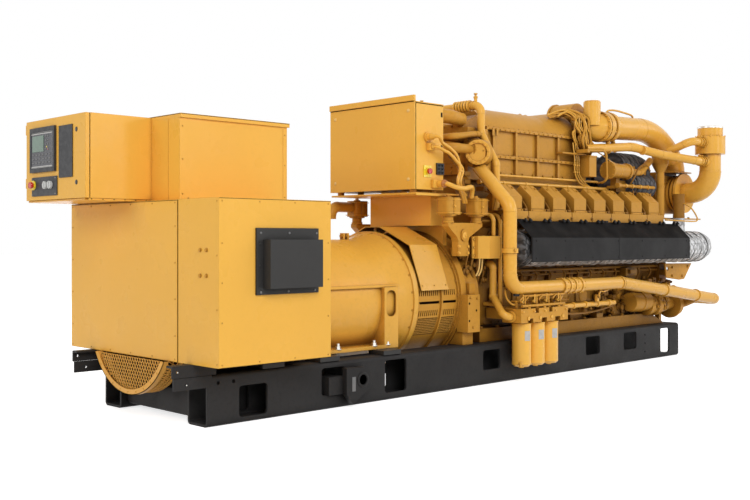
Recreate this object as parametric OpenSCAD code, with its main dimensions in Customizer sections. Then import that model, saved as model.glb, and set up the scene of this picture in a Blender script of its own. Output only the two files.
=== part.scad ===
// Diesel generator set on a skid: generator at the -X end, V16 engine at the +X end.
// X runs along the shaft, Z is up, and the origin lies on the floor midway between
// the two rails.  "Right" is the -Y side and "left" the +Y side.

/* [Skid] */
// Length of the two rails
rail_length = 5240; // [4600:10:6300]
// Height of a rail
rail_height = 300; // [250:5:360]
// Width of one rail
rail_width = 200; // [170:5:240]
// Distance over both rails
skid_width = 1144; // [1000:2:1370]
// Wall thickness of a rail
rail_wall = 16; // [12:1:20]

/* [Generator] */
// Length of the square enclosure at the rear of the generator
enclosure_length = 810; // [680:5:970]
// Width of the enclosure
enclosure_width = 1650; // [1400:5:1980]
// Height of the enclosure
enclosure_height = 931; // [780:1:1110]
// Radius of the round frame behind the enclosure
frame_radius = 430; // [380:5:450]
// Length of the round frame
frame_length = 1116; // [950:2:1330]

/* [Control cabinet] */
// Width of the cabinet, across the set
cabinet_width = 762; // [640:1:910]
// Height of the cabinet
cabinet_height = 499; // [420:1:560]
// Depth of the cabinet, door left out
cabinet_depth = 406; // [340:1:480]
// Thickness of the door
door_thickness = 26; // [20:1:30]
// Gap between the closed door and the cabinet
door_gap = 5; // [5:0.5:8]
// Radius of a hinge pin
hinge_pin_radius = 4; // [3:0.5:5]
// Radial play between a hinge pin and its knuckle
hinge_play = 0.5; // [0.3:0.1:1]

/* [Stop buttons] */
// Radius of the red head
button_radius = 20; // [16:1:24]
// Travel of the head
button_travel = 5; // [3:0.5:7]
// Radius of the stem
button_stem_radius = 8; // [6:0.5:10]
// Radial play of the stem in its collar
button_play = 1; // [0.5:0.1:1.5]

/* [Engine] */
// Distance between neighbouring cylinders
cylinder_pitch = 287; // [240:1:344]
// Cylinders in each bank
bank_cylinders = 8; // [6:1:8]
// Distance from the engine's middle plane to the face of a rocker cover
cover_face = 560; // [530:5:600]
// Radius of the wrapped exhaust manifold
manifold_radius = 146; // [120:1:155]
// Radius of a fuel filter
filter_radius = 71; // [60:1:78]

/* [Hidden] */
$fn = 64;

// Colours
paint = [0.93, 0.67, 0.27];
black = [0.16, 0.15, 0.15];
dark_grey = [0.27, 0.27, 0.27];
silver = [0.72, 0.72, 0.73];
red = [0.8, 0.12, 0.1];
yellow = [0.95, 0.85, 0.1];

// Skid
rail_x0 = -rail_length / 2;
rail_x1 = rail_length / 2;
rail_outer = skid_width / 2;
rail_inner = rail_outer - rail_width;
rail_middle = rail_outer - rail_width / 2;
anchor_hole_radius = 13.5;
anchor_spacing_x = 4800;
lifting_plate = 40;
lifting_eye_x = rail_x0 + 1152;
lifting_eye_z = 172;
lifting_eye_radius = 32;

// Generator
pad_height = 30;
foot_z = rail_height + pad_height;
shaft_z = rail_height + 340;
enclosure_x0 = rail_x0 - 101;
enclosure_x1 = enclosure_x0 + enclosure_length;
enclosure_z0 = rail_height + 69;
enclosure_z1 = enclosure_z0 + enclosure_height;
ring_x = enclosure_x1 + frame_length;
ring_radius = frame_radius + 60;
terminal_y0 = -273;
terminal_y1 = enclosure_width / 2;
terminal_x0 = enclosure_x0 + 112;
terminal_x1 = enclosure_x1 + 113;
terminal_z1 = enclosure_z1 + 490;
lid_height = 26;

// Control cabinet
cabinet_wall = 6;
cabinet_x1 = terminal_x0;
cabinet_x0 = cabinet_x1 - cabinet_depth;
cabinet_y1 = enclosure_width / 2 - 23;
cabinet_y0 = cabinet_y1 - cabinet_width;
cabinet_z0 = enclosure_z1 + 13;
cabinet_z1 = cabinet_z0 + cabinet_height;
door_x1 = cabinet_x0 - door_gap;
door_x0 = door_x1 - door_thickness;
hinge_x = door_x0 + 12;
hinge_y = cabinet_y1 + 14;
hinge_knuckle_radius = hinge_pin_radius + 5;
hinge_knuckle_height = 30;
hinge_gap = 1.5;
hinge_heights = [cabinet_z0 + 80, cabinet_z1 - 80];
button_gap = button_travel + 3;
button_collar_radius = button_radius + 10;
button_collar_height = 12;
button_head_height = 14;
button_bore_radius = button_stem_radius + button_play;
latch_y = cabinet_y0 + 109;
latch_heights = [cabinet_z0 + 95, cabinet_z1 - 92];
door_button_y = cabinet_y1 - 112;
door_button_z = cabinet_z0 + 95;

// Coupling and flywheel housing
drum_radius = ring_radius - 20;
drum_length = 444;
drum_band = 14;
housing_x0 = ring_x + drum_length;
housing_x1 = housing_x0 + 231;
housing_radius = ring_radius + 10;
foot_face = rail_outer - 12;

// Engine
engine_x0 = housing_x1;
bank_length = cylinder_pitch * bank_cylinders;
cover_width = 170;
cover_x0 = engine_x0 + 234;
engine_x1 = cover_x0 + bank_length + 100;
cover_z0 = shaft_z + 650;
cover_z1 = shaft_z + 760;
head_z0 = shaft_z + 575;
head_face = cover_face + 10;
block_face = 380;
block_z0 = shaft_z - 220;
block_z1 = shaft_z + 890;
manifold_y = cover_face + 30;
manifold_z = shaft_z + 364;
manifold_x0 = engine_x0 + 240;
manifold_x1 = engine_x1 + 565;
shield_y = manifold_y + manifold_radius + 24;
shield_x0 = cover_x0 + 32;
shield_x1 = shield_x0 + 2344 * bank_length / 2296;
plenum_x0 = engine_x0 + 335;
plenum_x1 = plenum_x0 + 1265 * bank_length / 2296;
plenum_z1 = shaft_z + 1310;
air_pipe_y = 340;
air_pipe_z = shaft_z + 1420;
air_pipe_radius = 104;
outlet_x = engine_x1 + 470;
outlet_z = shaft_z + 875;
outlet_pipe_radius = 115;
outlet_pipe_z1 = shaft_z + 1490;
outlet_stub_x = [outlet_x - 129, outlet_x - 150];
outlet_stub_z = [shaft_z + 1159, shaft_z + 1335];
seat_gap = 0.05;
mount_height = 100;
bearer_x1 = engine_x1 + 40;
bearer_slope = 240;
valve_x = plenum_x1 + 100;
plenum_cover_x1 = plenum_x1 - 80;
filter_spacing = 170;
filter_base_x0 = engine_x0 + 115;
filter_base_z0 = shaft_z - 186;

// Pipes: a bend is a little thicker than the pipe that grips it
bend_wall = 2;
bend_grip = 4;

// Junction box
box_x0 = ring_x + 20;
box_x1 = box_x0 + 288;
box_half_width = 444;
box_z0 = shaft_z + 785;
box_z1 = box_z0 + 616;
box_button_x = box_x0 + 118;
box_button_z = box_z0 + 130;
box_shelf_z = box_z0 - 34;
stand_z0 = box_z0 - 253;

function unit(v) = v / norm(v);

// Height of the engine bearer's sloping front end at a place along the skid
function on_slope(x) = rail_height + (bearer_x1 - x) * mount_height / bearer_slope + seat_gap;

// Rounded rectangle about the origin
module rounded(width, height, radius) {
    square([width - 2 * radius, height], center = true);
    square([width, height - 2 * radius], center = true);
    for (x = [-1, 1], y = [-1, 1])
        translate([x * (width / 2 - radius), y * (height / 2 - radius)])
            circle(radius, $fn = 32);
}

// A box given by its two corners
module block(low, high) {
    translate(low)
        cube(high - low);
}

// Extrudes a (y, z) outline from x0 to x1
module along_x(x0, x1) {
    translate([x0, 0, 0])
        rotate([90, 0, 90])
            linear_extrude(x1 - x0)
                children();
}

// Extrudes an (x, z) outline from y0 to y1
module along_y(y0, y1) {
    translate([0, y1, 0])
        rotate([90, 0, 0])
            linear_extrude(y1 - y0)
                children();
}

// A round bar from x0 to x1
module bar_x(x0, x1, y, z, radius) {
    translate([x0, y, z])
        rotate([0, 90, 0])
            cylinder(h = x1 - x0, r = radius);
}

// A round bar from y0 to y1
module bar_y(y0, y1, x, z, radius) {
    translate([x, y0, z])
        rotate([-90, 0, 0])
            cylinder(h = y1 - y0, r = radius);
}

// A round bar from z0 to z1
module bar_z(z0, z1, x, y, radius) {
    translate([x, y, z0])
        cylinder(h = z1 - z0, r = radius);
}

// Copies its children to the other side of the set as well
module both_sides() {
    children();
    mirror([0, 1, 0])
        children();
}

// Turns +Z to a direction, at a point
module facing(point, direction) {
    translate(point)
        rotate([0, acos(direction.z), atan2(direction.y, direction.x)])
            children();
}

// A solid of revolution about the shaft, from a (radius, x) outline
module turned() {
    translate([0, 0, shaft_z])
        rotate([0, 90, 0])
            rotate_extrude()
                children();
}

// A round pipe through points, with bends of one radius
module pipe(points, radius, bend) {
    last = len(points) - 1;
    legs = [for (i = [0:last - 1]) unit(points[i + 1] - points[i])];
    turns = [for (i = [0:last]) i == 0 || i == last ? 0 : acos(legs[i - 1] * legs[i])];
    cuts = [for (i = [0:last]) i == 0 || i == last ? 0 : bend * tan(turns[i] / 2) - bend_grip];
    for (i = [0:last - 1])
        facing(points[i] + legs[i] * cuts[i], legs[i])
            cylinder(h = norm(points[i + 1] - points[i]) - cuts[i] - cuts[i + 1], r = radius);
    for (i = [1:1:last - 1])
        elbow(points[i] - legs[i - 1] * (cuts[i] + bend_grip), legs[i - 1], legs[i], turns[i],
              radius + bend_wall, bend);
}

// One bend, from a start point and direction to an end direction
module elbow(start, from, to, turn, radius, bend) {
    inward = unit(to - from * (from * to));
    middle = start + inward * bend;
    across = cross(-inward, from);
    multmatrix([
        [-inward.x, from.x, across.x, middle.x],
        [-inward.y, from.y, across.y, middle.y],
        [-inward.z, from.z, across.z, middle.z],
        [0, 0, 0, 1]
    ])
        rotate_extrude(angle = turn)
            translate([bend, 0])
                circle(radius, $fn = 48);
}

// ---------------------------------------------------------------- skid

// Windows in a rail: place along the rail (0 to 1), width, bottom and top
rail_windows = [
    [0.0621, 208, 35, 218], [0.1825, 198, 90, 262], [0.2894, 205, 50, 266],
    [0.4822, 200, 110, 255], [0.6022, 208, 110, 262], [0.7340, 205, 115, 266],
    [0.8428, 205, 115, 263], [0.9529, 169, 43, 264]
];

module rail_section() {
    translate([-rail_middle, rail_height / 2])
        difference() {
            rounded(rail_width, rail_height, 26);
            rounded(rail_width - 2 * rail_wall, rail_height - 2 * rail_wall, 12);
        }
}

module rail() {
    difference() {
        union() {
            along_x(rail_x0, rail_x1)
                rail_section();
            block([rail_x0 - 222, -rail_outer, rail_height - 71],
                  [rail_x0 + 30, -rail_outer + rail_wall, rail_height - 2]);
        }
        for (window = rail_windows)
            translate([rail_x0 + window[0] * rail_length, 0, 0])
                along_y(-rail_outer - 1, -rail_inner + 1)
                    translate([0, rail_height * (window[2] + window[3]) / 600])
                        rounded(window[1], rail_height * (window[3] - window[2]) / 300, 22);
        for (x = [rail_x0 + 74, rail_x0 + 181])
            bar_y(-rail_outer - 1, -rail_outer + rail_wall + 1, x, rail_height - 50, 11);
        for (z = [0.25, 0.5, 0.75])
            bar_y(-rail_outer - 1, -rail_outer + rail_wall + 1, rail_x1 - 582, z * rail_height, 8);
        bar_y(-rail_outer - 1, -rail_outer + rail_wall + 1, rail_x0 - 142, rail_height - 42, 8);
        for (x = [-1, 1])
            bar_z(-1, rail_wall + 1, x * anchor_spacing_x / 2, -rail_middle, anchor_hole_radius);
    }
}

module base_rail_right() {
    color(black)
        rail();
}

module base_rail_left() {
    color(black)
        mirror([0, 1, 0])
            rail();
}

// Box sections between the rails, low enough to pass under the machines
module base_crossmembers() {
    places = [0.02, 0.25, 0.5, 0.72, 0.975];
    height = 160;
    color(black)
        for (place = places)
            translate([rail_x0 + place * rail_length, 0, 30 + height / 2])
                rotate([90, 0, 0])
                    linear_extrude(2 * rail_inner, center = true)
                        difference() {
                            rounded(120, height, 14);
                            rounded(100, height - 20, 8);
                        }
}

// A bar through both rails that ends in lifting plates
module lifting_bar() {
    window = rail_windows[1];
    x = rail_x0 + window[0] * rail_length;
    z = rail_height * window[2] / 300;
    plate_y = rail_outer + 25;
    color(black) {
        block([x - 60, -plate_y, z], [x + 60, plate_y, z + 114]);
        both_sides()
            difference() {
                along_y(-plate_y - lifting_plate, -plate_y)
                    union() {
                        translate([lifting_eye_x, lifting_eye_z])
                            circle(82);
                        polygon([
                            [lifting_eye_x - 141, z], [lifting_eye_x - 141, z + 167],
                            [lifting_eye_x + 6, z + 161], [lifting_eye_x + 60, z + 23],
                            [lifting_eye_x - 83, z - 68]
                        ]);
                    }
                bar_y(-plate_y - lifting_plate - 1, -plate_y + 1, lifting_eye_x, lifting_eye_z,
                      lifting_eye_radius);
            }
    }
}

// Angle brackets that stretch the rails under the end of the enclosure
module rear_brackets() {
    color(black)
        both_sides()
            difference() {
                along_x(rail_x0 - 232, rail_x0 + 60)
                    polygon([
                        [-rail_outer, rail_height], [-rail_outer, enclosure_z0],
                        [-rail_outer + 60, enclosure_z0], [-rail_outer + 60, enclosure_z0 - 12],
                        [-rail_outer + 12, enclosure_z0 - 12], [-rail_outer + 12, rail_height]
                    ]);
                bar_y(-rail_outer - 1, -rail_outer + 13, rail_x0 - 200, rail_height + 34, 8);
            }
}

module mounting_pads() {
    places = [398, 850, 1407];
    color(dark_grey)
        both_sides()
            for (place = places)
                block([rail_x0 + place, -rail_outer + 4, rail_height],
                      [rail_x0 + place + 165, -rail_outer + 150, foot_z]);
}

// ---------------------------------------------------------------- generator

// Barrel that flares to the flange of the coupling drum, on two feet
module generator_frame() {
    foot_x1 = ring_x - 172;
    foot_y = frame_radius + 30;
    flare = 240;
    column = 132;
    column_z1 = shaft_z + 104;
    plate = 10;
    color(paint) {
        turned()
            polygon(concat(
                [[0, enclosure_x1], [frame_radius, enclosure_x1]],
                [for (t = [0:0.2:1]) [frame_radius + 48 * pow(t, 2), ring_x - 40 - flare * (1 - t)]],
                [[ring_radius, ring_x - 40], [ring_radius, ring_x], [0, ring_x]]
            ));
        both_sides() {
            block([enclosure_x1, -foot_y, foot_z], [foot_x1, -frame_radius + 130, foot_z + 24]);
            block([enclosure_x1, -frame_radius - 12, column_z1],
                  [ring_x - 150, -frame_radius + 30, column_z1 + 18]);
            difference() {
                block([foot_x1 - column, -foot_y, foot_z + 23], [foot_x1, -foot_y + plate, column_z1 + 1]);
                translate([foot_x1 - column / 2, 0, column_z1 - 110])
                    along_y(-foot_y - 1, -foot_y + plate + 1)
                        rounded(column - 40, 178, 40);
            }
            for (x = [foot_x1 - column, foot_x1 - plate])
                block([x, -foot_y + plate - 1, foot_z + 23], [x + plate, -frame_radius + 110, column_z1 + 1]);
        }
        for (x = [ring_x - 280, ring_x - 240])
            block([x, -18, shaft_z + frame_radius - 20], [x + 16, 18, shaft_z + frame_radius + 46]);
    }
}

// Square sheet-metal enclosure on a low plinth
module generator_enclosure() {
    color(paint)
        block([enclosure_x0, -enclosure_width / 2, enclosure_z0],
              [enclosure_x1, enclosure_width / 2, enclosure_z1]);
    color(black)
        block([rail_x0 + 62, -rail_outer + 6, foot_z], [enclosure_x1, rail_outer - 6, enclosure_z0]);
}

module generator_end_panel() {
    color(paint)
        block([enclosure_x0 - 4, -423, enclosure_z0 + 3],
              [enclosure_x0, enclosure_width / 2, enclosure_z1 - 3]);
}

// Half drum of screen below the enclosure, over the fan
module fan_screen() {
    screen_radius = 455;
    screen_y = 40;
    screen_z = shaft_z - 45;
    screen_x0 = enclosure_x0 - 48;
    screen_x1 = rail_x0 - 10;
    rim = 34;
    color(paint)
        difference() {
            union() {
                bar_x(screen_x0 + 14, screen_x1, screen_y, screen_z, screen_radius - 8);
                bar_x(screen_x0, screen_x0 + rim, screen_y, screen_z, screen_radius);
            }
            bar_x(screen_x0 - 1, screen_x0 + 15, screen_y, screen_z, screen_radius - rim);
            bar_x(screen_x0 + 18, screen_x1 + 1, screen_y, screen_z, screen_radius - 12);
            block([screen_x0 - 1, screen_y - screen_radius - 1, enclosure_z0],
                  [screen_x1 + 2, screen_y + screen_radius + 1, screen_z + screen_radius + 1]);
        }
}

module air_ducts() {
    plate_x0 = enclosure_x0 + 247;
    plate_x1 = plate_x0 + 457;
    plate_z0 = enclosure_z0 + 390;
    plate_z1 = enclosure_z1 - 165;
    plate_y = enclosure_width / 2 + 12;
    color(dark_grey)
        both_sides() {
            block([plate_x0, -plate_y, plate_z0], [plate_x1, -enclosure_width / 2, plate_z1]);
            block([plate_x0 + 45, -plate_y - 68, plate_z0 + 35], [plate_x1 - 25, -plate_y, plate_z1 - 65]);
        }
}

module terminal_box() {
    color(paint)
        block([terminal_x0, terminal_y0, enclosure_z1], [terminal_x1, terminal_y1, terminal_z1]);
}

module terminal_box_lid() {
    color(paint)
        block([terminal_x0, terminal_y0 - 12, terminal_z1],
              [terminal_x1 + 12, terminal_y1, terminal_z1 + lid_height]);
}

// ---------------------------------------------------------------- control cabinet

module control_cabinet() {
    color(paint)
        difference() {
            block([cabinet_x0, cabinet_y0, cabinet_z0], [cabinet_x1, cabinet_y1, cabinet_z1]);
            block([cabinet_x0 - 1, cabinet_y0 + cabinet_wall, cabinet_z0 + cabinet_wall],
                  [cabinet_x1 - cabinet_wall, cabinet_y1 - cabinet_wall, cabinet_z1 - cabinet_wall]);
        }
    color(paint)
        for (z = hinge_heights) {
            block([hinge_x - 2, cabinet_y1, z], [cabinet_x0 + 40, hinge_y, z + hinge_knuckle_height]);
            bar_z(z, z + hinge_knuckle_height, hinge_x, hinge_y, hinge_knuckle_radius);
            bar_z(z, z + 2 * hinge_knuckle_height + hinge_gap, hinge_x, hinge_y, hinge_pin_radius);
        }
}

module control_door() {
    color(paint)
        difference() {
            union() {
                block([door_x0, cabinet_y0 + 1, cabinet_z0 + 1], [door_x1, cabinet_y1 - 1, cabinet_z1 - 1]);
                for (z = hinge_heights) {
                    knuckle_z0 = z + hinge_knuckle_height + hinge_gap;
                    block([door_x0 + 2, cabinet_y1 - 2, knuckle_z0],
                          [door_x1 - 4, hinge_y, knuckle_z0 + hinge_knuckle_height]);
                    bar_z(knuckle_z0, knuckle_z0 + hinge_knuckle_height, hinge_x, hinge_y,
                          hinge_knuckle_radius);
                }
            }
            for (z = hinge_heights)
                bar_z(z + hinge_knuckle_height, z + 3 * hinge_knuckle_height, hinge_x, hinge_y,
                      hinge_pin_radius + hinge_play);
            bar_x(door_x0 - 1, door_x0 + button_gap + button_travel + 6, door_button_y, door_button_z,
                  button_bore_radius);
            for (z = latch_heights)
                bar_x(door_x0 - 1, door_x0 + 3, latch_y, z, 15);
        }
    color(yellow)
        difference() {
            bar_x(door_x0 - button_collar_height, door_x0, door_button_y, door_button_z,
                  button_collar_radius);
            bar_x(door_x0 - button_collar_height - 1, door_x0 + 1, door_button_y, door_button_z,
                  button_bore_radius);
        }
}

// Controller, blank lamp strip and switch plate on the door
module control_panel() {
    screen_y = cabinet_y1 - 152;
    screen_z = cabinet_z1 - 149;
    color(black) {
        difference() {
            block([door_x0 - 16, cabinet_y1 - 403, cabinet_z1 - 326],
                  [door_x0, cabinet_y1 - 77, cabinet_z1 - 50]);
            block([door_x0 - 17, cabinet_y1 - 385, cabinet_z1 - 302],
                  [door_x0 - 12, cabinet_y1 - 95, cabinet_z1 - 78]);
        }
        block([door_x0 - 14, screen_y - 72, screen_z - 52], [door_x0 - 11, screen_y + 32, screen_z + 52]);
        block([door_x0 - 6, cabinet_y1 - 611, cabinet_z1 - 370],
              [door_x0, cabinet_y1 - 444, cabinet_z1 - 58]);
        difference() {
            block([door_x0 - 6, cabinet_y1 - 419, cabinet_z0 + 26],
                  [door_x0, cabinet_y1 - 88, cabinet_z0 + 143]);
            bar_x(door_x0 - 7, door_x0 + 1, door_button_y, door_button_z, button_collar_radius + button_play);
        }
    }
}

// Two round knobs on the switch plate
module control_switches() {
    color(silver)
        for (y = [cabinet_y1 - 278, cabinet_y1 - 341])
            difference() {
                bar_x(door_x0 - 20, door_x0 - 6, y, door_button_z - 4, 24);
                block([door_x0 - 21, y - 3, door_button_z - 24], [door_x0 - 16, y + 3, door_button_z + 16]);
            }
}

// A red mushroom head on a stem, pressed along +Z
module stop_button() {
    color(red) {
        translate([0, 0, -button_collar_height - button_gap - button_head_height])
            cylinder(h = button_head_height, r = button_radius);
        translate([0, 0, -button_collar_height - button_gap - 1])
            cylinder(h = button_collar_height + button_gap + 5, r = button_stem_radius);
    }
}

module door_stop_button() {
    translate([door_x0, door_button_y, door_button_z])
        rotate([0, 90, 0])
            stop_button();
}

// ---------------------------------------------------------------- coupling

// Louvred drum between the generator and the flywheel housing
module coupling_drum() {
    slot_z = shaft_z - 18;
    middle_x = ring_x + drum_length * 0.56;
    bays = [[ring_x + 28, middle_x - 8], [middle_x + drum_band + 8, housing_x0 - drum_band - 10]];
    slot_pitch = 21;
    slot_width = 9;
    screen_z = [shaft_z - 250, shaft_z - 128];
    reach = drum_radius + 20;
    color(paint)
        difference() {
            union() {
                bar_x(ring_x, housing_x0, 0, shaft_z, drum_radius);
                for (x = [ring_x, middle_x, housing_x0 - drum_band])
                    bar_x(x, x + drum_band, 0, shaft_z, drum_radius + 14);
            }
            bar_x(ring_x - 1, housing_x0 + 1, 0, shaft_z, drum_radius - 8);
            for (bay = bays) {
                block([bay[0], -reach, slot_z - 9], [bay[1], reach, slot_z + 9]);
                block([bay[0], -reach, screen_z[0]], [bay[1], reach, screen_z[1]]);
                for (x = [bay[0]:slot_pitch:bay[1] - slot_width], z = [shaft_z + 50, shaft_z - 92])
                    block([x, -reach, z - 20], [x + slot_width, reach, z + 20]);
            }
        }
}

module drive_coupling() {
    color(black) {
        bar_x(ring_x, housing_x0, 0, shaft_z, 120);
        bar_x(ring_x + 200, ring_x + 330, 0, shaft_z, 330);
    }
}

// Bent sheet over the coupling
module coupling_guard() {
    sheet = 6;
    outline = [[-500, shaft_z + 71], [-380, shaft_z + 393], [-80, shaft_z + 525]];
    color(paint) {
        along_x(ring_x + 24, ring_x + 306)
            polygon(concat(
                outline,
                [for (i = [2:-1:0]) [-outline[i].x, outline[i].y]],
                [for (i = [0:2]) [-outline[i].x - sheet, outline[i].y - (i == 0 ? 0 : sheet)]],
                [for (i = [2:-1:0]) [outline[i].x + sheet, outline[i].y - (i == 0 ? 0 : sheet)]]
            ));
        for (x = [ring_x + 60, ring_x + 220])
            bar_z(shaft_z + drum_radius, shaft_z + 520, x, 0, 14);
    }
}

// Bell housing; its foot plates stand on bearers inside the rails' faces
module flywheel_housing() {
    holes = [[20, -35], [98, -88], [20, -161]];
    foot_z0 = shaft_z - 246;
    foot_z1 = shaft_z + 28;
    color(paint) {
        bar_x(housing_x0, housing_x0 + 60, 0, shaft_z, housing_radius);
        bar_x(housing_x0 + 60, housing_x1, 0, shaft_z, housing_radius - 30);
        both_sides() {
            difference() {
                block([housing_x0 + 2, -foot_face, foot_z0], [housing_x0 + 136, -foot_face + 108, foot_z1]);
                for (hole = holes)
                    bar_y(-foot_face - 1, -foot_face + 20, housing_x0 + hole.x, shaft_z + hole.y, 9);
            }
            block([housing_x0 + 12, -foot_face + 60, rail_height],
                  [housing_x0 + 126, -housing_radius + 140, foot_z0 + 1]);
            block([housing_x0 + 20, -foot_face + 88, shaft_z - 200],
                  [housing_x0 + 120, -housing_radius + 140, shaft_z + 10]);
            block([housing_x0 + 64, -foot_face + 40, foot_z1 - 1],
                  [housing_x0 + 130, -housing_radius + 80, shaft_z + 110]);
        }
    }
}

// ---------------------------------------------------------------- junction box

// Box over the coupling, with its stop button's plate and the sockets on the right side
module junction_box() {
    color(paint)
        difference() {
            block([box_x0, -box_half_width, box_z0], [box_x1, box_half_width, box_z1]);
            bar_y(-box_half_width - 1, -box_half_width + button_gap + button_travel + 6,
                  box_button_x, box_button_z,
                  button_bore_radius);
        }
    color(yellow)
        difference() {
            union() {
                block([box_button_x - button_radius - 19, -box_half_width - 5,
                       box_button_z - button_radius - 22],
                      [box_button_x + button_radius + 19, -box_half_width,
                       box_button_z + button_radius + 22]);
                bar_y(-box_half_width - button_collar_height, -box_half_width, box_button_x, box_button_z,
                      button_radius + 6);
            }
            bar_y(-box_half_width - button_collar_height - 1, -box_half_width + 1, box_button_x, box_button_z,
                  button_bore_radius);
        }
    color(black) {
        block([box_x0 + 210, -box_half_width - 14, box_z0 + 111],
              [box_x0 + 284, -box_half_width, box_z0 + 193]);
        for (column = [0, 1], row = [0:2])
            bar_y(-box_half_width - 22, -box_half_width - 13, box_x0 + 230 + column * 34,
                      box_z0 + 126 + row * 26, 9);
    }
    color(paint) {
        bar_y(-box_half_width - 16, -box_half_width, box_x0 + 115, box_z0 + 373, 34);
        bar_y(-box_half_width - 44, -box_half_width - 15, box_x0 + 115, box_z0 + 373, 24);
        block([box_x0 + 108, -box_half_width - 34, box_z0 + 278],
              [box_x0 + 166, -box_half_width, box_z0 + 330]);
        block([box_x0 + 157, -box_half_width - 26, box_z0 + 14],
              [box_x0 + 264, -box_half_width, box_z0 + 72]);
        bar_y(-box_half_width - 74, -box_half_width - 25, box_x0 + 212, box_z0 + 43, 26);
    }
}

// Front sheet of the box, with a lip above it
module junction_box_cover() {
    color(paint)
        block([box_x0 - 12, -box_half_width, box_z0], [box_x0, box_half_width, box_z1 + 46]);
}

// Shelf on a pedestal that seats on the flywheel housing
module junction_box_stand() {
    color(paint) {
        difference() {
            union() {
                block([box_x0, -box_half_width, box_shelf_z],
                      [housing_x0 + 40, box_half_width, box_shelf_z + 12]);
                block([housing_x0 - 132, -318, stand_z0], [housing_x0 + 40, 318, box_shelf_z]);
                block([housing_x0 + 2, -318, shaft_z + 380], [housing_x0 + 40, 318, stand_z0]);
            }
            bar_x(housing_x0 - 1, housing_x0 + 61, 0, shaft_z, housing_radius);
        }
        for (x = [box_x0 + 40, box_x1 - 40], y = [-380, 380])
            bar_z(box_shelf_z + 12, box_z0, x, y, 25);
    }
}

module box_stop_button() {
    translate([box_button_x, -box_half_width, box_button_z])
        rotate([-90, 0, 0])
            stop_button();
}

// ---------------------------------------------------------------- engine

// V block with a waist for the manifolds and a door at each cylinder
module engine_block() {
    half = [
        [block_face, block_z0], [block_face, shaft_z + 100], [430, shaft_z + 200], [430, shaft_z + 520],
        [500, head_z0 - 10], [500, head_z0], [300, head_z0 + 60], [200, block_z1]
    ];
    color(paint) {
        along_x(engine_x0, engine_x1)
            polygon(concat(
                [for (point = half) [-point.x, point.y]],
                [for (i = [len(half) - 1:-1:0]) half[i]]
            ));
        both_sides()
            for (i = [0:bank_cylinders - 1])
                translate([cover_x0 + i * cylinder_pitch, -block_face, shaft_z - 50])
                    rotate([90, 0, 0])
                        linear_extrude(12)
                            translate([cover_width / 2, 0])
                                rounded(cover_width + 40, 220, 24);
        both_sides() {
            block([engine_x1 - 698, -520, shaft_z + 112], [engine_x1 - 520, -400, shaft_z + 180]);
            block([engine_x1 - 660, -545, shaft_z + 130], [engine_x1 - 560, -519, shaft_z + 166]);
            for (i = [1:bank_cylinders - 1])
                block([cover_x0 + i * cylinder_pitch - 72, -438, shaft_z + 200],
                      [cover_x0 + i * cylinder_pitch - 52, -429, head_z0 - 14]);
        }
    }
}

module oil_pan() {
    pan_z0 = 200;
    color(paint)
        along_x(engine_x0, engine_x1 - 200)
            polygon([[-300, pan_z0], [-350, pan_z0 + 50], [-350, block_z0],
                     [350, block_z0], [350, pan_z0 + 50], [300, pan_z0]]);
}

// Bearers on the rails, with pads up to the block
module engine_mounts() {
    color(paint)
        both_sides() {
            along_y(-460, -block_face)
                polygon([[engine_x0 + 20, rail_height], [engine_x0 + 20, rail_height + mount_height],
                         [bearer_x1 - bearer_slope, rail_height + mount_height], [bearer_x1, rail_height]]);
            for (place = [0.24, 0.48, 0.72])
                block([engine_x0 + place * (engine_x1 - engine_x0), -404, rail_height + mount_height],
                      [engine_x0 + place * (engine_x1 - engine_x0) + 160, -block_face, shaft_z - 160]);
            block([engine_x0 + 0.6 * (engine_x1 - engine_x0), -456, rail_height + mount_height],
                  [engine_x0 + 0.6 * (engine_x1 - engine_x0) + 92, -block_face,
                   rail_height + mount_height + 38]);
        }
}

module cylinder_heads() {
    color(paint)
        both_sides()
            for (i = [0:bank_cylinders - 1])
                translate([cover_x0 + i * cylinder_pitch - 40, 0, 0])
                    along_x(0, cylinder_pitch - 8)
                        polygon([[-head_face, head_z0], [-head_face, cover_z0], [-cover_face + 170, cover_z0],
                                 [-300, head_z0 + 60], [-500, head_z0]]);
}

module rocker_covers() {
    color(paint)
        both_sides()
            for (i = [0:bank_cylinders - 1])
                translate([cover_x0 + i * cylinder_pitch, 0, 0]) {
                    along_x(0, cover_width)
                        polygon([[-cover_face, cover_z0], [-cover_face, cover_z1],
                                 [-cover_face + 110, cover_z1 + 95],
                                 [-cover_face + 230, cover_z1 - 20], [-cover_face + 170, cover_z0]]);
                    along_x(-8, cover_width + 8)
                        polygon([[-cover_face - 6, cover_z0], [-cover_face - 6, cover_z0 + 16],
                                 [-cover_face + 181, cover_z0 + 16], [-cover_face + 170, cover_z0]]);
                }
}

// Ribbed charge air box in the V
module intake_plenum() {
    ribs = floor((plenum_x1 - plenum_x0) / cylinder_pitch);
    color(paint) {
        block([plenum_x0, -245, block_z1], [plenum_x1, 245, plenum_z1]);
        for (z = [shaft_z + 1075, plenum_z1 - 16])
            block([plenum_x0 - 5, -275, z], [plenum_x1 + 5, 275, z + 24]);
        for (i = [0:ribs])
            block([plenum_x0 + 80 + i * cylinder_pitch, -268, shaft_z + 950],
                  [plenum_x0 + 110 + i * cylinder_pitch, 268, plenum_z1]);
    }
}

// Domed cover that widens to the air valve
module plenum_cover() {
    color(paint)
        intersection() {
            union() {
                bar_x(plenum_x0, plenum_cover_x1 - 120, 0, plenum_z1 - 74, 256);
                translate([plenum_cover_x1 - 430, 0, plenum_z1 - 74])
                    rotate([0, 90, 0])
                        cylinder(h = 430, r1 = 240, r2 = 304);
            }
            block([plenum_x0 - 1, -262, plenum_z1 + 8], [plenum_cover_x1 + 1, 262, plenum_z1 + 400]);
        }
}

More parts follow.
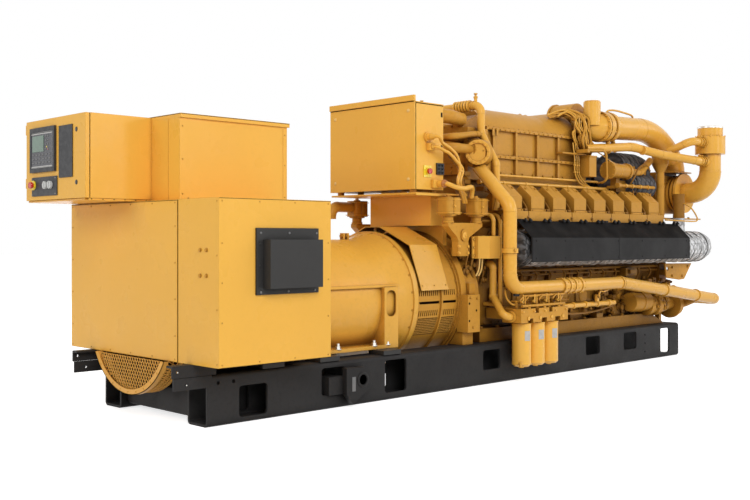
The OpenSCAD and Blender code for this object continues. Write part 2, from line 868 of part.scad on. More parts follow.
// Pipe from the air valve over the turbochargers to the cooler
module charge_air_pipe() {
    start = [plenum_x1 - 165, -air_pipe_y, air_pipe_z - 13];
    knee = [engine_x1 + 126, -air_pipe_y, air_pipe_z + 33];
    axis = unit(knee - start);
    corner = start + axis * (valve_x - start.x);
    low_end = knee + [250, 0, -250];
    drop = 310;
    body_radius = air_pipe_radius + 18;
    color(paint) {
        pipe([corner + [0, 160, 0], corner, corner + axis * 158], body_radius, 150);
        pipe([corner + axis * 100, knee, low_end], air_pipe_radius, 759);
        pipe([low_end - [12, 0, -12], knee + [drop, 0, -drop], [knee.x + drop, -air_pipe_y, shaft_z + 1076]],
             air_pipe_radius - 5, 150);
        for (ring = [[106, 56, 28], [161, 26, 14], [186, 56, 28]])
            facing(corner + axis * ring[0], axis)
                cylinder(h = ring[1], r = air_pipe_radius + ring[2]);
        bar_z(air_pipe_z, shaft_z + 1626, valve_x - 20, -air_pipe_y, 74);
        bar_z(shaft_z + 1625, shaft_z + 1635, valve_x - 20, -air_pipe_y, 66);
    }
}

// Valve body behind the charge air pipe, and its actuators beside the air box
module bypass_valve() {
    valve_z = shaft_z + 1500;
    actuator_x = plenum_x1 - 50;
    actuator_y = -400;
    tube_y = actuator_y - 25;
    color(paint) {
        bar_y(-air_pipe_y + 161, 60, valve_x, valve_z, 132);
        bar_y(40, 61, valve_x, valve_z, 142);
        bar_x(plenum_cover_x1 + 2, valve_x, 0, plenum_z1 + 106, 96);
        block([valve_x - 110, -150, plenum_z1 + 10], [valve_x + 120, 150, valve_z]);
        block([plenum_x1 + 6, -180, block_z1], [plenum_x1 + 220, 180, plenum_z1 + 11]);
        both_sides() {
            block([actuator_x, actuator_y, shaft_z + 970],
                  [actuator_x + 106, actuator_y + 100, shaft_z + 1150]);
            block([actuator_x - 4, actuator_y - 5, shaft_z + 1140],
                  [actuator_x + 110, actuator_y + 104, shaft_z + 1152]);
            block([actuator_x - 290, actuator_y + 70, shaft_z + 1156],
                  [actuator_x + 60, -268 - seat_gap, shaft_z + 1170]);
            block([actuator_x + 20, actuator_y + 80, shaft_z + 1151],
                  [actuator_x + 60, actuator_y + 104, shaft_z + 1157]);
            pipe([[plenum_x1 - 120, tube_y, shaft_z + 1186], [plenum_x1 + 172, tube_y, shaft_z + 1205],
                  [plenum_x1 + 184, tube_y, shaft_z + 930], [plenum_x1 + 184, tube_y + 100, shaft_z + 926]],
                 9, 60);
            block([plenum_x1 - 128, tube_y - 12, shaft_z + 1169],
                  [plenum_x1 - 96, actuator_y + 84, shaft_z + 1200]);
        }
    }
}

// Charger of each bank: yellow air pipes in front of wrapped hot casings
module turbochargers() {
    turbo_x = plenum_x1 + 247;
    pipe_y = -400;
    pipe_z = shaft_z + 1038;
    casing_x = turbo_x + 330;
    color(paint)
        both_sides() {
            bar_x(turbo_x, turbo_x + 287, pipe_y, pipe_z, 64);
            bar_x(turbo_x - 18, turbo_x + 8, pipe_y, pipe_z, 80);
            bar_x(turbo_x + 262, turbo_x + 288, pipe_y, pipe_z, 74);
            pipe([[turbo_x + 286, pipe_y, pipe_z - 4], [turbo_x + 520, pipe_y, pipe_z + 4],
                  [turbo_x + 690, pipe_y, pipe_z + 124]], 31, 110);
            block([turbo_x + 150, -380, shaft_z + 850], [turbo_x + 210, -320, shaft_z + 1000]);
            bar_x(turbo_x + 60, turbo_x + 660, -455, shaft_z + 905, 14);
            bar_x(turbo_x + 50, turbo_x + 90, -455, shaft_z + 905, 24);
            block([turbo_x + 60, -455, shaft_z + 880], [turbo_x + 80, -340, shaft_z + 905]);
            block([turbo_x + 60, -400, shaft_z + 889], [turbo_x + 160, -340, shaft_z + 905]);
        }
    color(black)
        both_sides() {
            bar_x(casing_x, casing_x + 380, -200, shaft_z + 1060, 164);
            for (i = [0:3])
                bar_x(casing_x + 24 + i * 94, casing_x + 58 + i * 94, -200, shaft_z + 1060, 170 - seat_gap);
            bar_x(turbo_x + 320, turbo_x + 700, -330, shaft_z + 920, 96);
            for (i = [0:6])
                bar_x(turbo_x + 330 + i * 52, turbo_x + 350 + i * 52, -330, shaft_z + 920, 108);
            block([turbo_x + 209, -370, shaft_z + 860], [turbo_x + 322, -300, shaft_z + 960]);
        }
}

// Flared prop and the plate it stands on
module turbo_support() {
    prop_x = engine_x1 + 30;
    plate_z = shaft_z + 622;
    color(paint)
        both_sides() {
            bar_z(plate_z + 10, shaft_z + 1056, prop_x, -430, 38);
            translate([prop_x, -430, shaft_z + 1055])
                cylinder(h = 75, r1 = 38, r2 = 76);
            bar_z(shaft_z + 1129, shaft_z + 1205, prop_x, -430, 76);
            block([prop_x - 40, -470, plate_z], [prop_x + 690, -345, plate_z + 11]);
        }
}

// Wrapped manifold of both banks, joined around the front, with its risers
module exhaust_manifolds() {
    color(silver) {
        pipe([[manifold_x0, -manifold_y, manifold_z], [manifold_x1, -manifold_y, manifold_z],
              [manifold_x1, manifold_y, manifold_z], [manifold_x0, manifold_y, manifold_z]],
             manifold_radius, 260);
        both_sides()
            bar_z(manifold_z + 60, shaft_z + 760, engine_x1 + 190, -532, 58);
    }
}

// Folded sheet beside each manifold
module heat_shields() {
    sheet = 5;
    lip = 128;
    color(black)
        both_sides() {
            along_x(shield_x0, shield_x1)
                polygon([[-shield_y, manifold_z - 100], [-shield_y, manifold_z + 80],
                         [-shield_y + lip, manifold_z + 208], [-shield_y + lip, manifold_z + 201],
                         [-shield_y + sheet, manifold_z + 78], [-shield_y + sheet, manifold_z - 100]]);
            for (i = [0:2:bank_cylinders - 1])
                block([cover_x0 + i * cylinder_pitch + 60, -shield_y + lip, manifold_z + 202],
                      [cover_x0 + i * cylinder_pitch + 100, -head_face, manifold_z + 222]);
        }
}

// Thermostat housing across the flywheel end, with a round cover on each bank
module regulator_housing() {
    cover_z = shaft_z + 1083;
    face_x = engine_x0 + 60;
    color(paint)
        difference() {
            union() {
                block([face_x + 10, -300, block_z1], [engine_x0 + 310, 300, shaft_z + 1290]);
                along_y(-250, 250)
                    polygon([[face_x + 10, shaft_z + 1289], [face_x + 10, shaft_z + 1320],
                             [face_x + 180, shaft_z + 1400], [face_x + 240, shaft_z + 1400],
                             [face_x + 240, shaft_z + 1289]]);
                block([face_x - 8, -270, shaft_z + 930], [face_x + 11, 270, shaft_z + 1010]);
                block([face_x - 4, -310, shaft_z + 1150], [face_x + 11, 310, shaft_z + 1166]);
                both_sides() {
                    bar_x(face_x, face_x + 80, -386, cover_z, 106);
                    bar_x(face_x - 8, face_x + 14, -386, cover_z, 110);
                    pipe([[face_x - 250, -220, cover_z + 26], [face_x - 250, -386, cover_z + 26],
                          [face_x + 1, -386, cover_z + 26]], 36, 60);
                    bar_x(face_x - 60, face_x - 40, -386, cover_z + 26, 50);
                    pipe([[face_x + 20, -240, shaft_z + 1196], [face_x - 215, -240, shaft_z + 1196],
                          [face_x - 215, -350, shaft_z + 1196], [face_x + 40, -350, shaft_z + 1232],
                          [face_x + 76, -350, shaft_z + 1232]], 25, 45);
                    pipe([[face_x + 12, -235, shaft_z + 1350], [face_x - 200, -250, shaft_z + 1366],
                          [face_x - 200, -60, shaft_z + 1366]], 52, 85);
                    bar_y(-400, -299, face_x + 48, shaft_z + 1150, 30);
                }
                bar_y(-222, 222, face_x - 250, cover_z + 26, 36);
            }
            both_sides()
                bar_x(face_x - 9, face_x + 6, -386, cover_z, 64);
        }
}

// Vent line over the top, with a bellows on each side, and two drains beside the control module
module vent_pipe() {
    x = engine_x0 + 182;
    top_z = shaft_z + 1465;
    drain_z = shaft_z + 614;
    color(paint) {
        pipe([[x, -487, cover_z0], [x, -487, shaft_z + 1005], [x, -340, shaft_z + 1246], [x, -340, top_z],
              [x, 340, top_z], [x, 340, shaft_z + 1246], [x, 487, shaft_z + 1005], [x, 487, cover_z0]],
             30, 70);
        both_sides() {
            for (i = [0:5])
                bar_y(-240 + i * 28, -226 + i * 28, x, top_z, 42);
            pipe([[x - 10, -430, drain_z], [x - 10, -535, drain_z], [x - 10, -535, shaft_z - 60],
                  [x - 10, -block_face - seat_gap, shaft_z - 60]], 16, 60);
            pipe([[x - 74, -430, drain_z], [x - 74, -522, drain_z], [x - 74, -522, shaft_z + 457]], 15, 50);
        }
        bar_z(top_z, top_z + 62, x, -285, 13);
    }
}

// Coolant line of each bank, joined around the front
module coolant_pipes() {
    x = engine_x0 + 82;
    y = 700;
    run_z = shaft_z + 68;
    end_z = run_z - 205;
    bend_x = engine_x1 - 1050;
    end_x = engine_x1 + 620;
    bend = [bend_x, -y, run_z];
    fall = unit([end_x, -y, end_z] - bend);
    color(paint)
        difference() {
            union() {
                pipe([[x, -390, shaft_z + 990], [x, -y, shaft_z + 680], [x, -y, run_z], [bend_x, -y, run_z],
                      [end_x, -y, end_z], [end_x, y, end_z], [bend_x, y, run_z], [x, y, run_z],
                      [x, y, shaft_z + 680], [x, 390, shaft_z + 990]], 50, 110);
                both_sides() {
                    bar_z(shaft_z + 330, shaft_z + 365, x, -y, 60);
                    for (place = [620, 690, 760, 850])
                        bar_x(x + place, x + place + 34, -y, run_z, 62);
                    bar_x(x + 620, x + 884, -y, run_z, 56);
                    bar_x(bend_x - 40, bend_x - 24, -y, run_z, 58);
                    for (place = [680, 1240])
                        facing(bend + fall * place, fall)
                            cylinder(h = 16, r = 58);
                }
            }
            both_sides()
                bar_x(x - 100, x + 100, -386, shaft_z + 1083, 111);
        }
}

// Hoses from the engine to the outlet stack
module coolant_hoses() {
    color(paint) {
        pipe([[plenum_x1 - 20, -335, shaft_z + 1215], [plenum_x1 + 560, -440, shaft_z + 1260],
              [engine_x1 - 160, -560, shaft_z + 1200], [outlet_stub_x[0] - 111, -700, outlet_stub_z[0]],
              [outlet_stub_x[0] - seat_gap, -700, outlet_stub_z[0]]], 38, 260);
        pipe([[engine_x1 + 60, -500, shaft_z + 1245], [engine_x1 + 110, -700, outlet_stub_z[1]],
              [outlet_stub_x[1] - seat_gap, -700, outlet_stub_z[1]]], 36, 90);
    }
}

// Two cups on a branched arm for each bank
module breathers() {
    cups = [engine_x0 - 355, engine_x0 - 44];
    y = -480;
    arm_z = shaft_z + 515;
    neck_z = shaft_z + 445;
    cup_z0 = shaft_z + 609;
    cup_z1 = shaft_z + 732;
    column = [cups[0] + 74, cups[0] + 184];
    foot_z = shaft_z + 309;
    color(paint)
        difference() {
            both_sides() {
                for (x = cups) {
                    translate([x, y, cup_z0])
                        linear_extrude(cup_z1 - cup_z0) {
                            translate([-28, 0])
                                rounded(74, 118, 26);
                            translate([32, -4])
                                rounded(78, 128, 22);
                        }
                    bar_z(cup_z0 - 10, cup_z0 + 1, x, y, 60);
                    bar_z(arm_z + 50, cup_z0 - 9, x, y, 38);
                    bar_z(arm_z + 35, arm_z + 51, x, y, 43);
                }
                along_y(y - 34, y + 30)
                    polygon([
                        [cups[0] - 34, arm_z + 36], [cups[1] + 32, arm_z + 36], [cups[1] + 32, arm_z + 10],
                        [column[1] + 12, neck_z], [column[1], neck_z - 30], [column[1], foot_z],
                        [column[0], foot_z], [column[0], neck_z - 30], [column[0] - 12, neck_z],
                        [cups[0] - 34, arm_z + 10]
                    ]);
                translate([(column[0] + column[1]) / 2, y - 33, neck_z + 16])
                    rotate([90, 0, 0])
                        linear_extrude(14)
                            rounded(62, 84, 30);
                block([column[1] - 45, y + 29, foot_z], [column[1] - 2, y + 100, foot_z + 60]);
            }
            bar_x(housing_x0 - 1, housing_x0 + 61, 0, shaft_z, housing_radius);
        }
    color(paint)
        pipe([[cups[0] - 60, -y, shaft_z + 682], [cups[0] - 275, -y, shaft_z + 682],
              [cups[0] - 275, -y, shaft_z + 588]], 40, 70);
}

module control_module() {
    color(paint)
        translate([0, 0, shaft_z + 288])
            linear_extrude(168)
                polygon([[engine_x0 - 44, -500], [engine_x0 + 16, -cover_face],
                         [engine_x0 + 143, -cover_face],
                         [engine_x0 + 143, -432], [engine_x0 - 44, -432]]);
}

// Filter head with its shut-off cocks
module filter_base() {
    base_x0 = filter_base_x0;
    base_z0 = filter_base_z0;
    base_z1 = shaft_z - 82;
    rail_z = base_z1 + 92;
    color(paint) {
        difference() {
            block([base_x0, -775, base_z0], [base_x0 + 586, -600, base_z1]);
            for (i = [0:2])
                translate([engine_x0 + 196 + i * filter_spacing, 0, 0])
                    block([0, -776, base_z0 - 1], [66, -738, base_z0 + 30]);
            for (i = [0:1])
                translate([engine_x0 + 290 + i * filter_spacing, 0, 0])
                    block([0, -776, base_z1 - 34], [42, -748, base_z1 + 1]);
        }
        block([base_x0 + 65, -601, base_z0 + 16], [base_x0 + 485, -block_face - 12, base_z1 - 8]);
        for (x = [base_x0 + 60, base_x0 + 200, base_x0 + 350, base_x0 + 500]) {
            bar_z(base_z1 - 1, base_z1 + 44, x, -690, 16);
            bar_y(-740, -640, x, base_z1 + 50, 9);
            bar_z(base_z1 - 1, rail_z + 2, x + 28, -742, 9);
            bar_z(base_z1 - 1, base_z1 + 26, x + 28, -742, 17);
        }
        bar_x(base_x0 + 30, base_x0 + 560, -760, base_z1 + 20, 10);
        bar_x(base_x0 + 60, base_x0 + 580, -742, rail_z, 8);
        for (x = [base_x0 + 110, base_x0 + 300, base_x0 + 480])
            bar_z(base_z1 - 1, base_z1 + 12, x, -760, 16);
    }
}

module fuel_filters() {
    filter_z0 = shaft_z - 500;
    filter_z1 = shaft_z - 197;
    color(paint)
        for (i = [0:2])
            translate([engine_x0 + 230 + i * filter_spacing, -690, 0]) {
                translate([0, 0, filter_z0 - 14])
                    cylinder(h = 14, r1 = filter_radius - 16, r2 = filter_radius);
                bar_z(filter_z0, filter_z1, 0, 0, filter_radius);
                bar_z(filter_z1 - 1, filter_z1 + 11, 0, 0, filter_radius - 20);
            }
}

// Lines along the air box and the pan, and the feed of the filter head
module fuel_pipes() {
    feed_x = engine_x0 + 140;
    feed_z = filter_base_z0 + 46;
    color(paint) {
        both_sides() {
            bar_x(plenum_x0 + 20, plenum_x1 + 220, -300, shaft_z + 937, 10);
            bar_x(engine_x0 + 760, engine_x1 - 1040, -620, shaft_z - 100, 20);
        }
        pipe([[feed_x, -431, shaft_z + 246], [feed_x, -492, shaft_z + 246], [feed_x, -492, shaft_z]],
             27, 40);
        translate([feed_x, -492, shaft_z])
            sphere(33);
        pipe([[feed_x, -492, shaft_z], [feed_x - 112, -690, feed_z],
              [filter_base_x0 - seat_gap, -690, feed_z]], 27, 40);
        bar_x(filter_base_x0 - 16, filter_base_x0 - seat_gap, -690, feed_z, 42);
    }
}

// Gear case, with a bracket under each manifold
module front_housing() {
    bracket_y = -560;
    color(paint) {
        along_x(engine_x1, engine_x1 + 120)
            polygon([[-370, shaft_z - 240], [-370, shaft_z - 40], [-440, shaft_z + 60], [-440, shaft_z + 200],
                     [-300, shaft_z + 800], [300, shaft_z + 800], [440, shaft_z + 200],
                     [440, shaft_z + 60], [370, shaft_z - 40], [370, shaft_z - 240]]);
        both_sides() {
            difference() {
                along_y(bracket_y, bracket_y + 12)
                    polygon([[engine_x1 - 110, shaft_z + 212], [engine_x1 + 376, shaft_z + 206],
                             [engine_x1 + 240, shaft_z + 62], [engine_x1 + 150, shaft_z + 56],
                             [engine_x1 - 80, shaft_z + 80]]);
                bar_y(bracket_y - 1, bracket_y + 13, engine_x1 - 62, shaft_z + 164, 20);
            }
            block([engine_x1 + 10, bracket_y + 11, shaft_z + 100], [engine_x1 + 100, -430, shaft_z + 150]);
        }
    }
}

module vibration_damper() {
    color(black) {
        bar_x(engine_x1 + 120, engine_x1 + 260, 0, shaft_z, 280);
        bar_x(engine_x1 + 259, engine_x1 + 300, 0, shaft_z, 110);
    }
}

// Pump and oil cooler of each bank, with the pump's foot on the bearer
module coolant_pumps() {
    y = -470;
    z = shaft_z - 165;
    cooler_z = shaft_z - 124;
    cooler_y = -484;
    foot = [engine_x1 - 40, engine_x1];
    color(paint)
        both_sides() {
            for (i = [0:8])
                bar_x(engine_x1 - 580 + i * 28, engine_x1 - 564 + i * 28, cooler_y, cooler_z, 82);
            bar_x(engine_x1 - 586, engine_x1 - 318, cooler_y, cooler_z, 68);
            block([engine_x1 - 560, cooler_y + 40, cooler_z - 40],
                  [engine_x1 - 360, -block_face - 12, cooler_z + 40]);
            bar_x(engine_x1 - 319, engine_x1 + 124, y, z, 56);
            for (ring = [[-300, 34, 74], [-236, 16, 66], [-180, 70, 68], [-88, 22, 80], [-30, 40, 70]])
                bar_x(engine_x1 + ring[0], engine_x1 + ring[0] + ring[1], y, z, ring[2]);
            bar_z(z + 40, z + 96, engine_x1 - 150, y, 30);
            block([engine_x1 - 200, y - 30, z - 70], [engine_x1 - 120, y + 30, z - 50]);
            bar_x(engine_x1 + 122, engine_x1 + 148, y, z - 14, 122);
            bar_x(engine_x1 + 147, engine_x1 + 204, y, z - 14, 106);
            bar_x(engine_x1 + 203, engine_x1 + 226, y, z - 14, 76);
            pipe([[engine_x1 + 210, y, z - 14], [engine_x1 + 330, y, z - 14],
                  [engine_x1 + 330, -642, z + 56]],
                 42, 75);
            along_y(y + 10, y + 54)
                polygon([[foot[0], on_slope(foot[0])], [foot[1], on_slope(foot[1])],
                         [foot[1], z - 40], [foot[0], z - 40]]);
        }
}

// Flanged elbow up to the stack that the site piping joins
module coolant_outlet() {
    neck_y = -330;
    stack_z0 = shaft_z + 1231;
    color(paint) {
        pipe([[outlet_x, neck_y, outlet_z], [outlet_x, -700, outlet_z], [outlet_x, -700, stack_z0 + 9]],
             97, 200);
        bar_z(stack_z0, stack_z0 + 165, outlet_x, -700, 137);
        bar_z(stack_z0 + 164, outlet_pipe_z1, outlet_x, -700, outlet_pipe_radius);
        for (i = [0:2])
            bar_y(neck_y - 110 + i * 42, neck_y - 86 + i * 42, outlet_x, outlet_z, i == 0 ? 190 : 172);
        bar_y(neck_y - 87, neck_y, outlet_x, outlet_z, 150);
        bar_x(outlet_stub_x[0], outlet_x, -700, outlet_stub_z[0], 46);
        bar_x(outlet_stub_x[1], outlet_x, -700, outlet_stub_z[1], 44);
    }
}

module outlet_housing() {
    color(paint) {
        block([engine_x1 + 120, -330, shaft_z + 680], [engine_x1 + 640, 330, shaft_z + 1040]);
        block([engine_x1 + 250, -300, shaft_z + 1040], [engine_x1 + 560, 300, shaft_z + 1066]);
        block([engine_x1 + 250, -460, shaft_z + 1066], [engine_x1 + 560, 300, shaft_z + 1076]);
    }
}

base_rail_right();
base_rail_left();
base_crossmembers();
lifting_bar();
rear_brackets();
mounting_pads();
generator_frame();
generator_enclosure();
generator_end_panel();
fan_screen();
air_ducts();
terminal_box();
terminal_box_lid();
control_cabinet();
control_door();
control_panel();
control_switches();
door_stop_button();
coupling_drum();
drive_coupling();
coupling_guard();
flywheel_housing();
junction_box();
junction_box_cover();
junction_box_stand();
box_stop_button();
engine_block();
oil_pan();
engine_mounts();
cylinder_heads();
rocker_covers();
intake_plenum();
plenum_cover();
charge_air_pipe();
bypass_valve();
turbochargers();
turbo_support();
exhaust_manifolds();
heat_shields();
regulator_housing();
vent_pipe();
coolant_pipes();
coolant_hoses();
breathers();
control_module();
filter_base();
fuel_filters();
fuel_pipes();
front_housing();
vibration_damper();
coolant_pumps();
coolant_outlet();
outlet_housing();
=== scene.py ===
"""Looks of the diesel generator set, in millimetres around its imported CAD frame."""
import math
import random

import bmesh
import bpy
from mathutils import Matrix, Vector


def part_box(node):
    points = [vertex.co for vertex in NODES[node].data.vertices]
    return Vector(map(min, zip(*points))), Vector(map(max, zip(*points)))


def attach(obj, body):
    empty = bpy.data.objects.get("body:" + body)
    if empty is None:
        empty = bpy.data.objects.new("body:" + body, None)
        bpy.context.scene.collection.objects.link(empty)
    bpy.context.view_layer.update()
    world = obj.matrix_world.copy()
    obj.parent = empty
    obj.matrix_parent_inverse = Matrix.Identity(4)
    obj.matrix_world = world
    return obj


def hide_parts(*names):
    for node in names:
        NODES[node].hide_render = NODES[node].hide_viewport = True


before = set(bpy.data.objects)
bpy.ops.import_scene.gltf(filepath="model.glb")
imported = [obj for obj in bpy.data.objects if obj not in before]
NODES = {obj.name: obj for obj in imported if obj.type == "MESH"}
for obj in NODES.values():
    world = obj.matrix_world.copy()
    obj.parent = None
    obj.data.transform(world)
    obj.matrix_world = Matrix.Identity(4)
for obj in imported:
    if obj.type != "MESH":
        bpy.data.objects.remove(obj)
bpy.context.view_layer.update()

UP, AHEAD, REAR, NEAR = (0, 0, 1), (1, 0, 0), (-1, 0, 0), (0, -1, 0)

# ---------------------------------------------------------------- camera, light and floor

CAMERA_TURN = 44.13         # degrees that the view is turned from the end face
CAMERA_PLACE = (-5.928, -5.345, 1.07)
FOCAL_LENGTH = 48.55
HORIZON_SHIFT = -0.014
FLOOR_REACH = 60.0
FLOOR_GLOW = 0.74           # lifts the lit floor to white, and leaves its shadow
SOFT_LIGHT = 0.36
LAMPS = [                   # name, place, target, width and height, watts
    ("key", (-5.5, -10.0, 7.0), (0, 0, 0.8), (6, 5), 640),
    ("fill", (-11, 1.5, 5.0), (-1, 0, 1.0), (5, 4), 225),
    ("front", (8.5, -6.5, 4.5), (1.5, 0, 1.2), (5, 4), 165),
    ("top", (0, 0, 8.5), (0, 0, 0), (8, 5), 70),
    ("gleam", (3.2, -10.8, 3.3), (-2.8, 0, 1.6), (1.8, 1.2), 95),
    ("back", (1.5, 10.0, 6.0), (0, 0, 0.8), (6, 4), 300),
]


def add_object(name, data):
    item = bpy.data.objects.new(name, data)
    bpy.context.scene.collection.objects.link(item)
    return item


def add_camera():
    camera = bpy.data.cameras.new("camera")
    camera.lens = FOCAL_LENGTH
    camera.sensor_width = 36.0
    camera.shift_y = HORIZON_SHIFT
    camera.clip_end = 200.0
    holder = add_object("camera", camera)
    holder.location = CAMERA_PLACE
    holder.rotation_euler = (math.radians(90), 0, -math.radians(CAMERA_TURN))
    bpy.context.scene.camera = holder


def add_lamp(name, location, target, size, power):
    """A soft rectangular lamp that points at a target"""
    light = bpy.data.lights.new(name, "AREA")
    light.shape = "RECTANGLE"
    light.size, light.size_y = size
    light.energy = power
    holder = add_object(name, light)
    holder.location = location
    holder.rotation_euler = (Vector(target) - Vector(location)).to_track_quat("-Z", "Y").to_euler()


def add_node(tree, kind, inputs, **settings):
    """A shader node whose inputs take values or other nodes' sockets"""
    node = tree.nodes.new("ShaderNode" + kind)
    for name, value in settings.items():
        setattr(node, name, value)
    feed(tree, node, inputs)
    return node


def feed(tree, node, inputs):
    """Sets a node's inputs, or links them to sockets"""
    for name, value in inputs.items():
        if isinstance(value, bpy.types.NodeSocket):
            tree.links.new(value, node.inputs[name])
        else:
            node.inputs[name].default_value = value


def seen_rays(tree):
    """Camera, glossy and transmission rays: those by which the camera sees the white"""
    path = add_node(tree, "LightPath", {})
    seen = path.outputs["Is Camera Ray"]
    for name in ("Is Glossy Ray", "Is Transmission Ray"):
        seen = add_node(tree, "Math", {0: seen, 1: path.outputs[name]}, operation="MAXIMUM").outputs[0]
    return seen


def set_world():
    """Soft even light, and plain white where the camera or a reflection sees past the floor"""
    world = bpy.data.worlds.new("studio")
    world.use_nodes = True
    tree = world.node_tree
    tree.nodes.clear()
    soft = add_node(tree, "Background", {"Color": (1.0, 0.99, 0.97, 1), "Strength": SOFT_LIGHT})
    white = add_node(tree, "Background", {"Color": (1, 1, 1, 1), "Strength": 1.0})
    mix = add_node(tree, "MixShader", {0: seen_rays(tree), 1: soft.outputs[0], 2: white.outputs[0]})
    add_node(tree, "OutputWorld", {0: mix.outputs[0]})
    bpy.context.scene.world = world


def add_floor():
    """A pale floor that keeps the shadow and runs out into the white"""
    mesh = bpy.data.meshes.new("floor")
    r = FLOOR_REACH
    mesh.from_pydata([(-r, -r, 0), (r, -r, 0), (r, r, 0), (-r, r, 0)], [], [(0, 1, 2, 3)])
    floor = add_object("floor", mesh)
    material = bpy.data.materials.new("floor")
    material.use_nodes = True
    tree = material.node_tree
    surface = tree.nodes["Principled BSDF"]
    feed(tree, surface, {"Base Color": (0.82, 0.82, 0.82, 1), "Roughness": 0.9})
    share = add_node(tree, "Math", {0: seen_rays(tree), 1: FLOOR_GLOW}, operation="MULTIPLY")
    glow = add_node(tree, "Emission", {"Strength": share.outputs[0]})
    both = add_node(tree, "AddShader", {0: surface.outputs[0], 1: glow.outputs[0]})
    feed(tree, tree.nodes["Material Output"], {0: both.outputs[0]})
    mesh.materials.append(material)


add_camera()
set_world()
add_floor()
for lamp in LAMPS:
    add_lamp(*lamp)
bpy.context.scene.view_settings.view_transform = "Standard"


# ---------------------------------------------------------------- finishes

FINISH = {}


def scaled(colour, factor):
    return tuple(min(1.0, c * factor) for c in colour)


class Shade:
    """A finish as it is built, in metres"""

    def __init__(self, name, roughness, metallic=0.0, coat=0.0):
        FINISH[name] = material = bpy.data.materials.new(name)
        material.use_nodes = True
        self.tree = material.node_tree
        self.give({"Roughness": roughness, "Metallic": metallic, "Coat Weight": coat, "Coat Roughness": 0.22})
        self.place = self.node("TexCoord", {}).outputs["Object"]

    def node(self, kind, inputs, **settings):
        return add_node(self.tree, kind, inputs, **settings)

    def give(self, inputs):
        """Feeds the surface's own shader"""
        feed(self.tree, self.tree.nodes["Principled BSDF"], inputs)

    def noise(self, scale, detail=3.0, place=None):
        """Noise of so many grains a metre"""
        return self.node("TexNoise", {"Scale": scale, "Detail": detail, "Vector": place or self.place}).outputs["Fac"]

    def spread(self, value, low, high, start=0.3, end=0.7):
        """Maps a value that runs from start to end onto low to high"""
        return self.node("MapRange", {"From Min": start, "From Max": end, "To Min": low, "To Max": high,
                                      "Value": value}).outputs["Result"]

    def mix(self, share, *colours):
        """Mixes two colours, or the colours of two sockets, by a share"""
        first, second = [(*c, 1) if isinstance(c, tuple) else c for c in colours]
        return self.node("Mix", {0: share, 6: first, 7: second}, data_type="RGBA").outputs[2]

    def bump(self, heights, edge=0.0):
        """Bumps from (height, strength, depth) rows, over edges rounded to a radius"""
        normal = self.node("Bevel", {"Radius": edge}, samples=3).outputs["Normal"] if edge else None
        for height, strength, depth in heights:
            inputs = {"Strength": strength, "Distance": depth, "Height": height}
            if normal:
                inputs["Normal"] = normal
            normal = self.node("Bump", inputs).outputs["Normal"]
        self.give({"Normal": normal})


def paint(name, colour, crevice_shade, roughness, grain, depth, edge=0.003, coat=0.0, reach=0.12, drift=0.07, specular=0.22):
    """Paint whose tone drifts slowly, darkens with painted shade in crevices, and carries a fine grain"""
    shade = Shade(name, roughness, coat=coat)
    slow = shade.spread(shade.noise(1.7), 0, 1)
    tone = shade.mix(slow, scaled(colour, 1 - drift), scaled(colour, 1 + drift))
    speck = shade.spread(shade.noise(38, 4.0), 0, 0.5, 0.5, 0.8)
    tone = shade.mix(speck, tone, scaled(colour, 1 - drift * 2.2))
    # painted shade: where ambient occlusion finds surfaces close by, in crevices and between parts, the colour turns
    # towards the darker crevice colour
    occlusion = shade.node("AmbientOcclusion", {"Distance": reach}, samples=4).outputs["AO"]
    fine, wide = shade.noise(grain), shade.noise(6.0, 2.0)
    shade.give({"Base Color": shade.mix(shade.spread(occlusion, 0, 1, 0.15, 0.75), crevice_shade, tone),
                "Roughness": shade.spread(wide, roughness * 0.8, roughness * 1.25),
                "Specular IOR Level": specular})
    shade.bump([(wide, 0.25, 0.004), (fine, 0.5, depth)], edge)


def bare_metal(name, colour, roughness):
    """Plated or brushed metal with fine streaks along its height"""
    shade = Shade(name, roughness, metallic=1.0)
    stretch = shade.node("Mapping", {"Scale": (1, 1, 0.08), "Vector": shade.place})
    streaks = shade.noise(420, place=stretch.outputs[0])
    stain = shade.spread(shade.noise(24), 0, 1)
    shade.give({"Base Color": shade.mix(stain, scaled(colour, 0.8), colour),
                "Roughness": shade.spread(streaks, roughness * 0.7, roughness * 1.4)})
    shade.bump([(streaks, 0.3, 0.0004)], 0.0012)


def plastic(name, colour, roughness, grain=900, coat=0.0):
    """Moulded plastic with a fine leathery grain and slight wear"""
    shade = Shade(name, roughness, coat=coat)
    wear = shade.spread(shade.noise(30, 4.0), 0, 1)
    shade.give({"Base Color": shade.mix(wear, scaled(colour, 0.88), scaled(colour, 1.12)),
                "Roughness": shade.spread(wear, roughness * 0.85, roughness * 1.2)})
    shade.bump([(shade.noise(grain, 2.0), 0.35, 0.0005)], 0.001)


def quilted(name, colour, valley_shade, metallic, roughness, pitch, depth):
    """Blanket cloth: puffed diamonds between stitched lines, over a fine weave, with painted shade in its valleys and
    creases
    """
    shade = Shade(name, roughness, metallic=metallic)
    waves = []
    for turn in (0.62, -0.62):
        lean = shade.node("Mapping", {"Rotation": (turn * 0.5, turn, 0), "Vector": shade.place})
        waves.append(shade.node("TexWave", {"Scale": 0.314 / pitch, "Distortion": 1.2, "Detail": 1.0,
                                            "Detail Scale": 2.0, "Vector": lean.outputs[0]}).outputs["Fac"])
    puff = shade.node("Math", {0: waves[0], 1: waves[1]}, operation="MULTIPLY").outputs[0]
    # painted shade: the tone darkens where the creases sink, and the valleys between the puffs take the darker colour
    # given for them
    crease = shade.spread(shade.noise(16, 5.0), 0, 1, 0.32, 0.62)
    tone = shade.mix(crease, scaled(colour, 0.55), scaled(colour, 1.25))
    shade.give({"Base Color": shade.mix(shade.spread(puff, 0, 1, 0.0, 0.22), valley_shade, tone),
                "Roughness": shade.spread(crease, roughness * 0.75, roughness * 1.3, 0, 1)})
    shade.bump([(puff, 0.6, depth), (crease, 0.55, depth * 0.7), (shade.noise(700, 2.0), 0.4, 0.0008)])
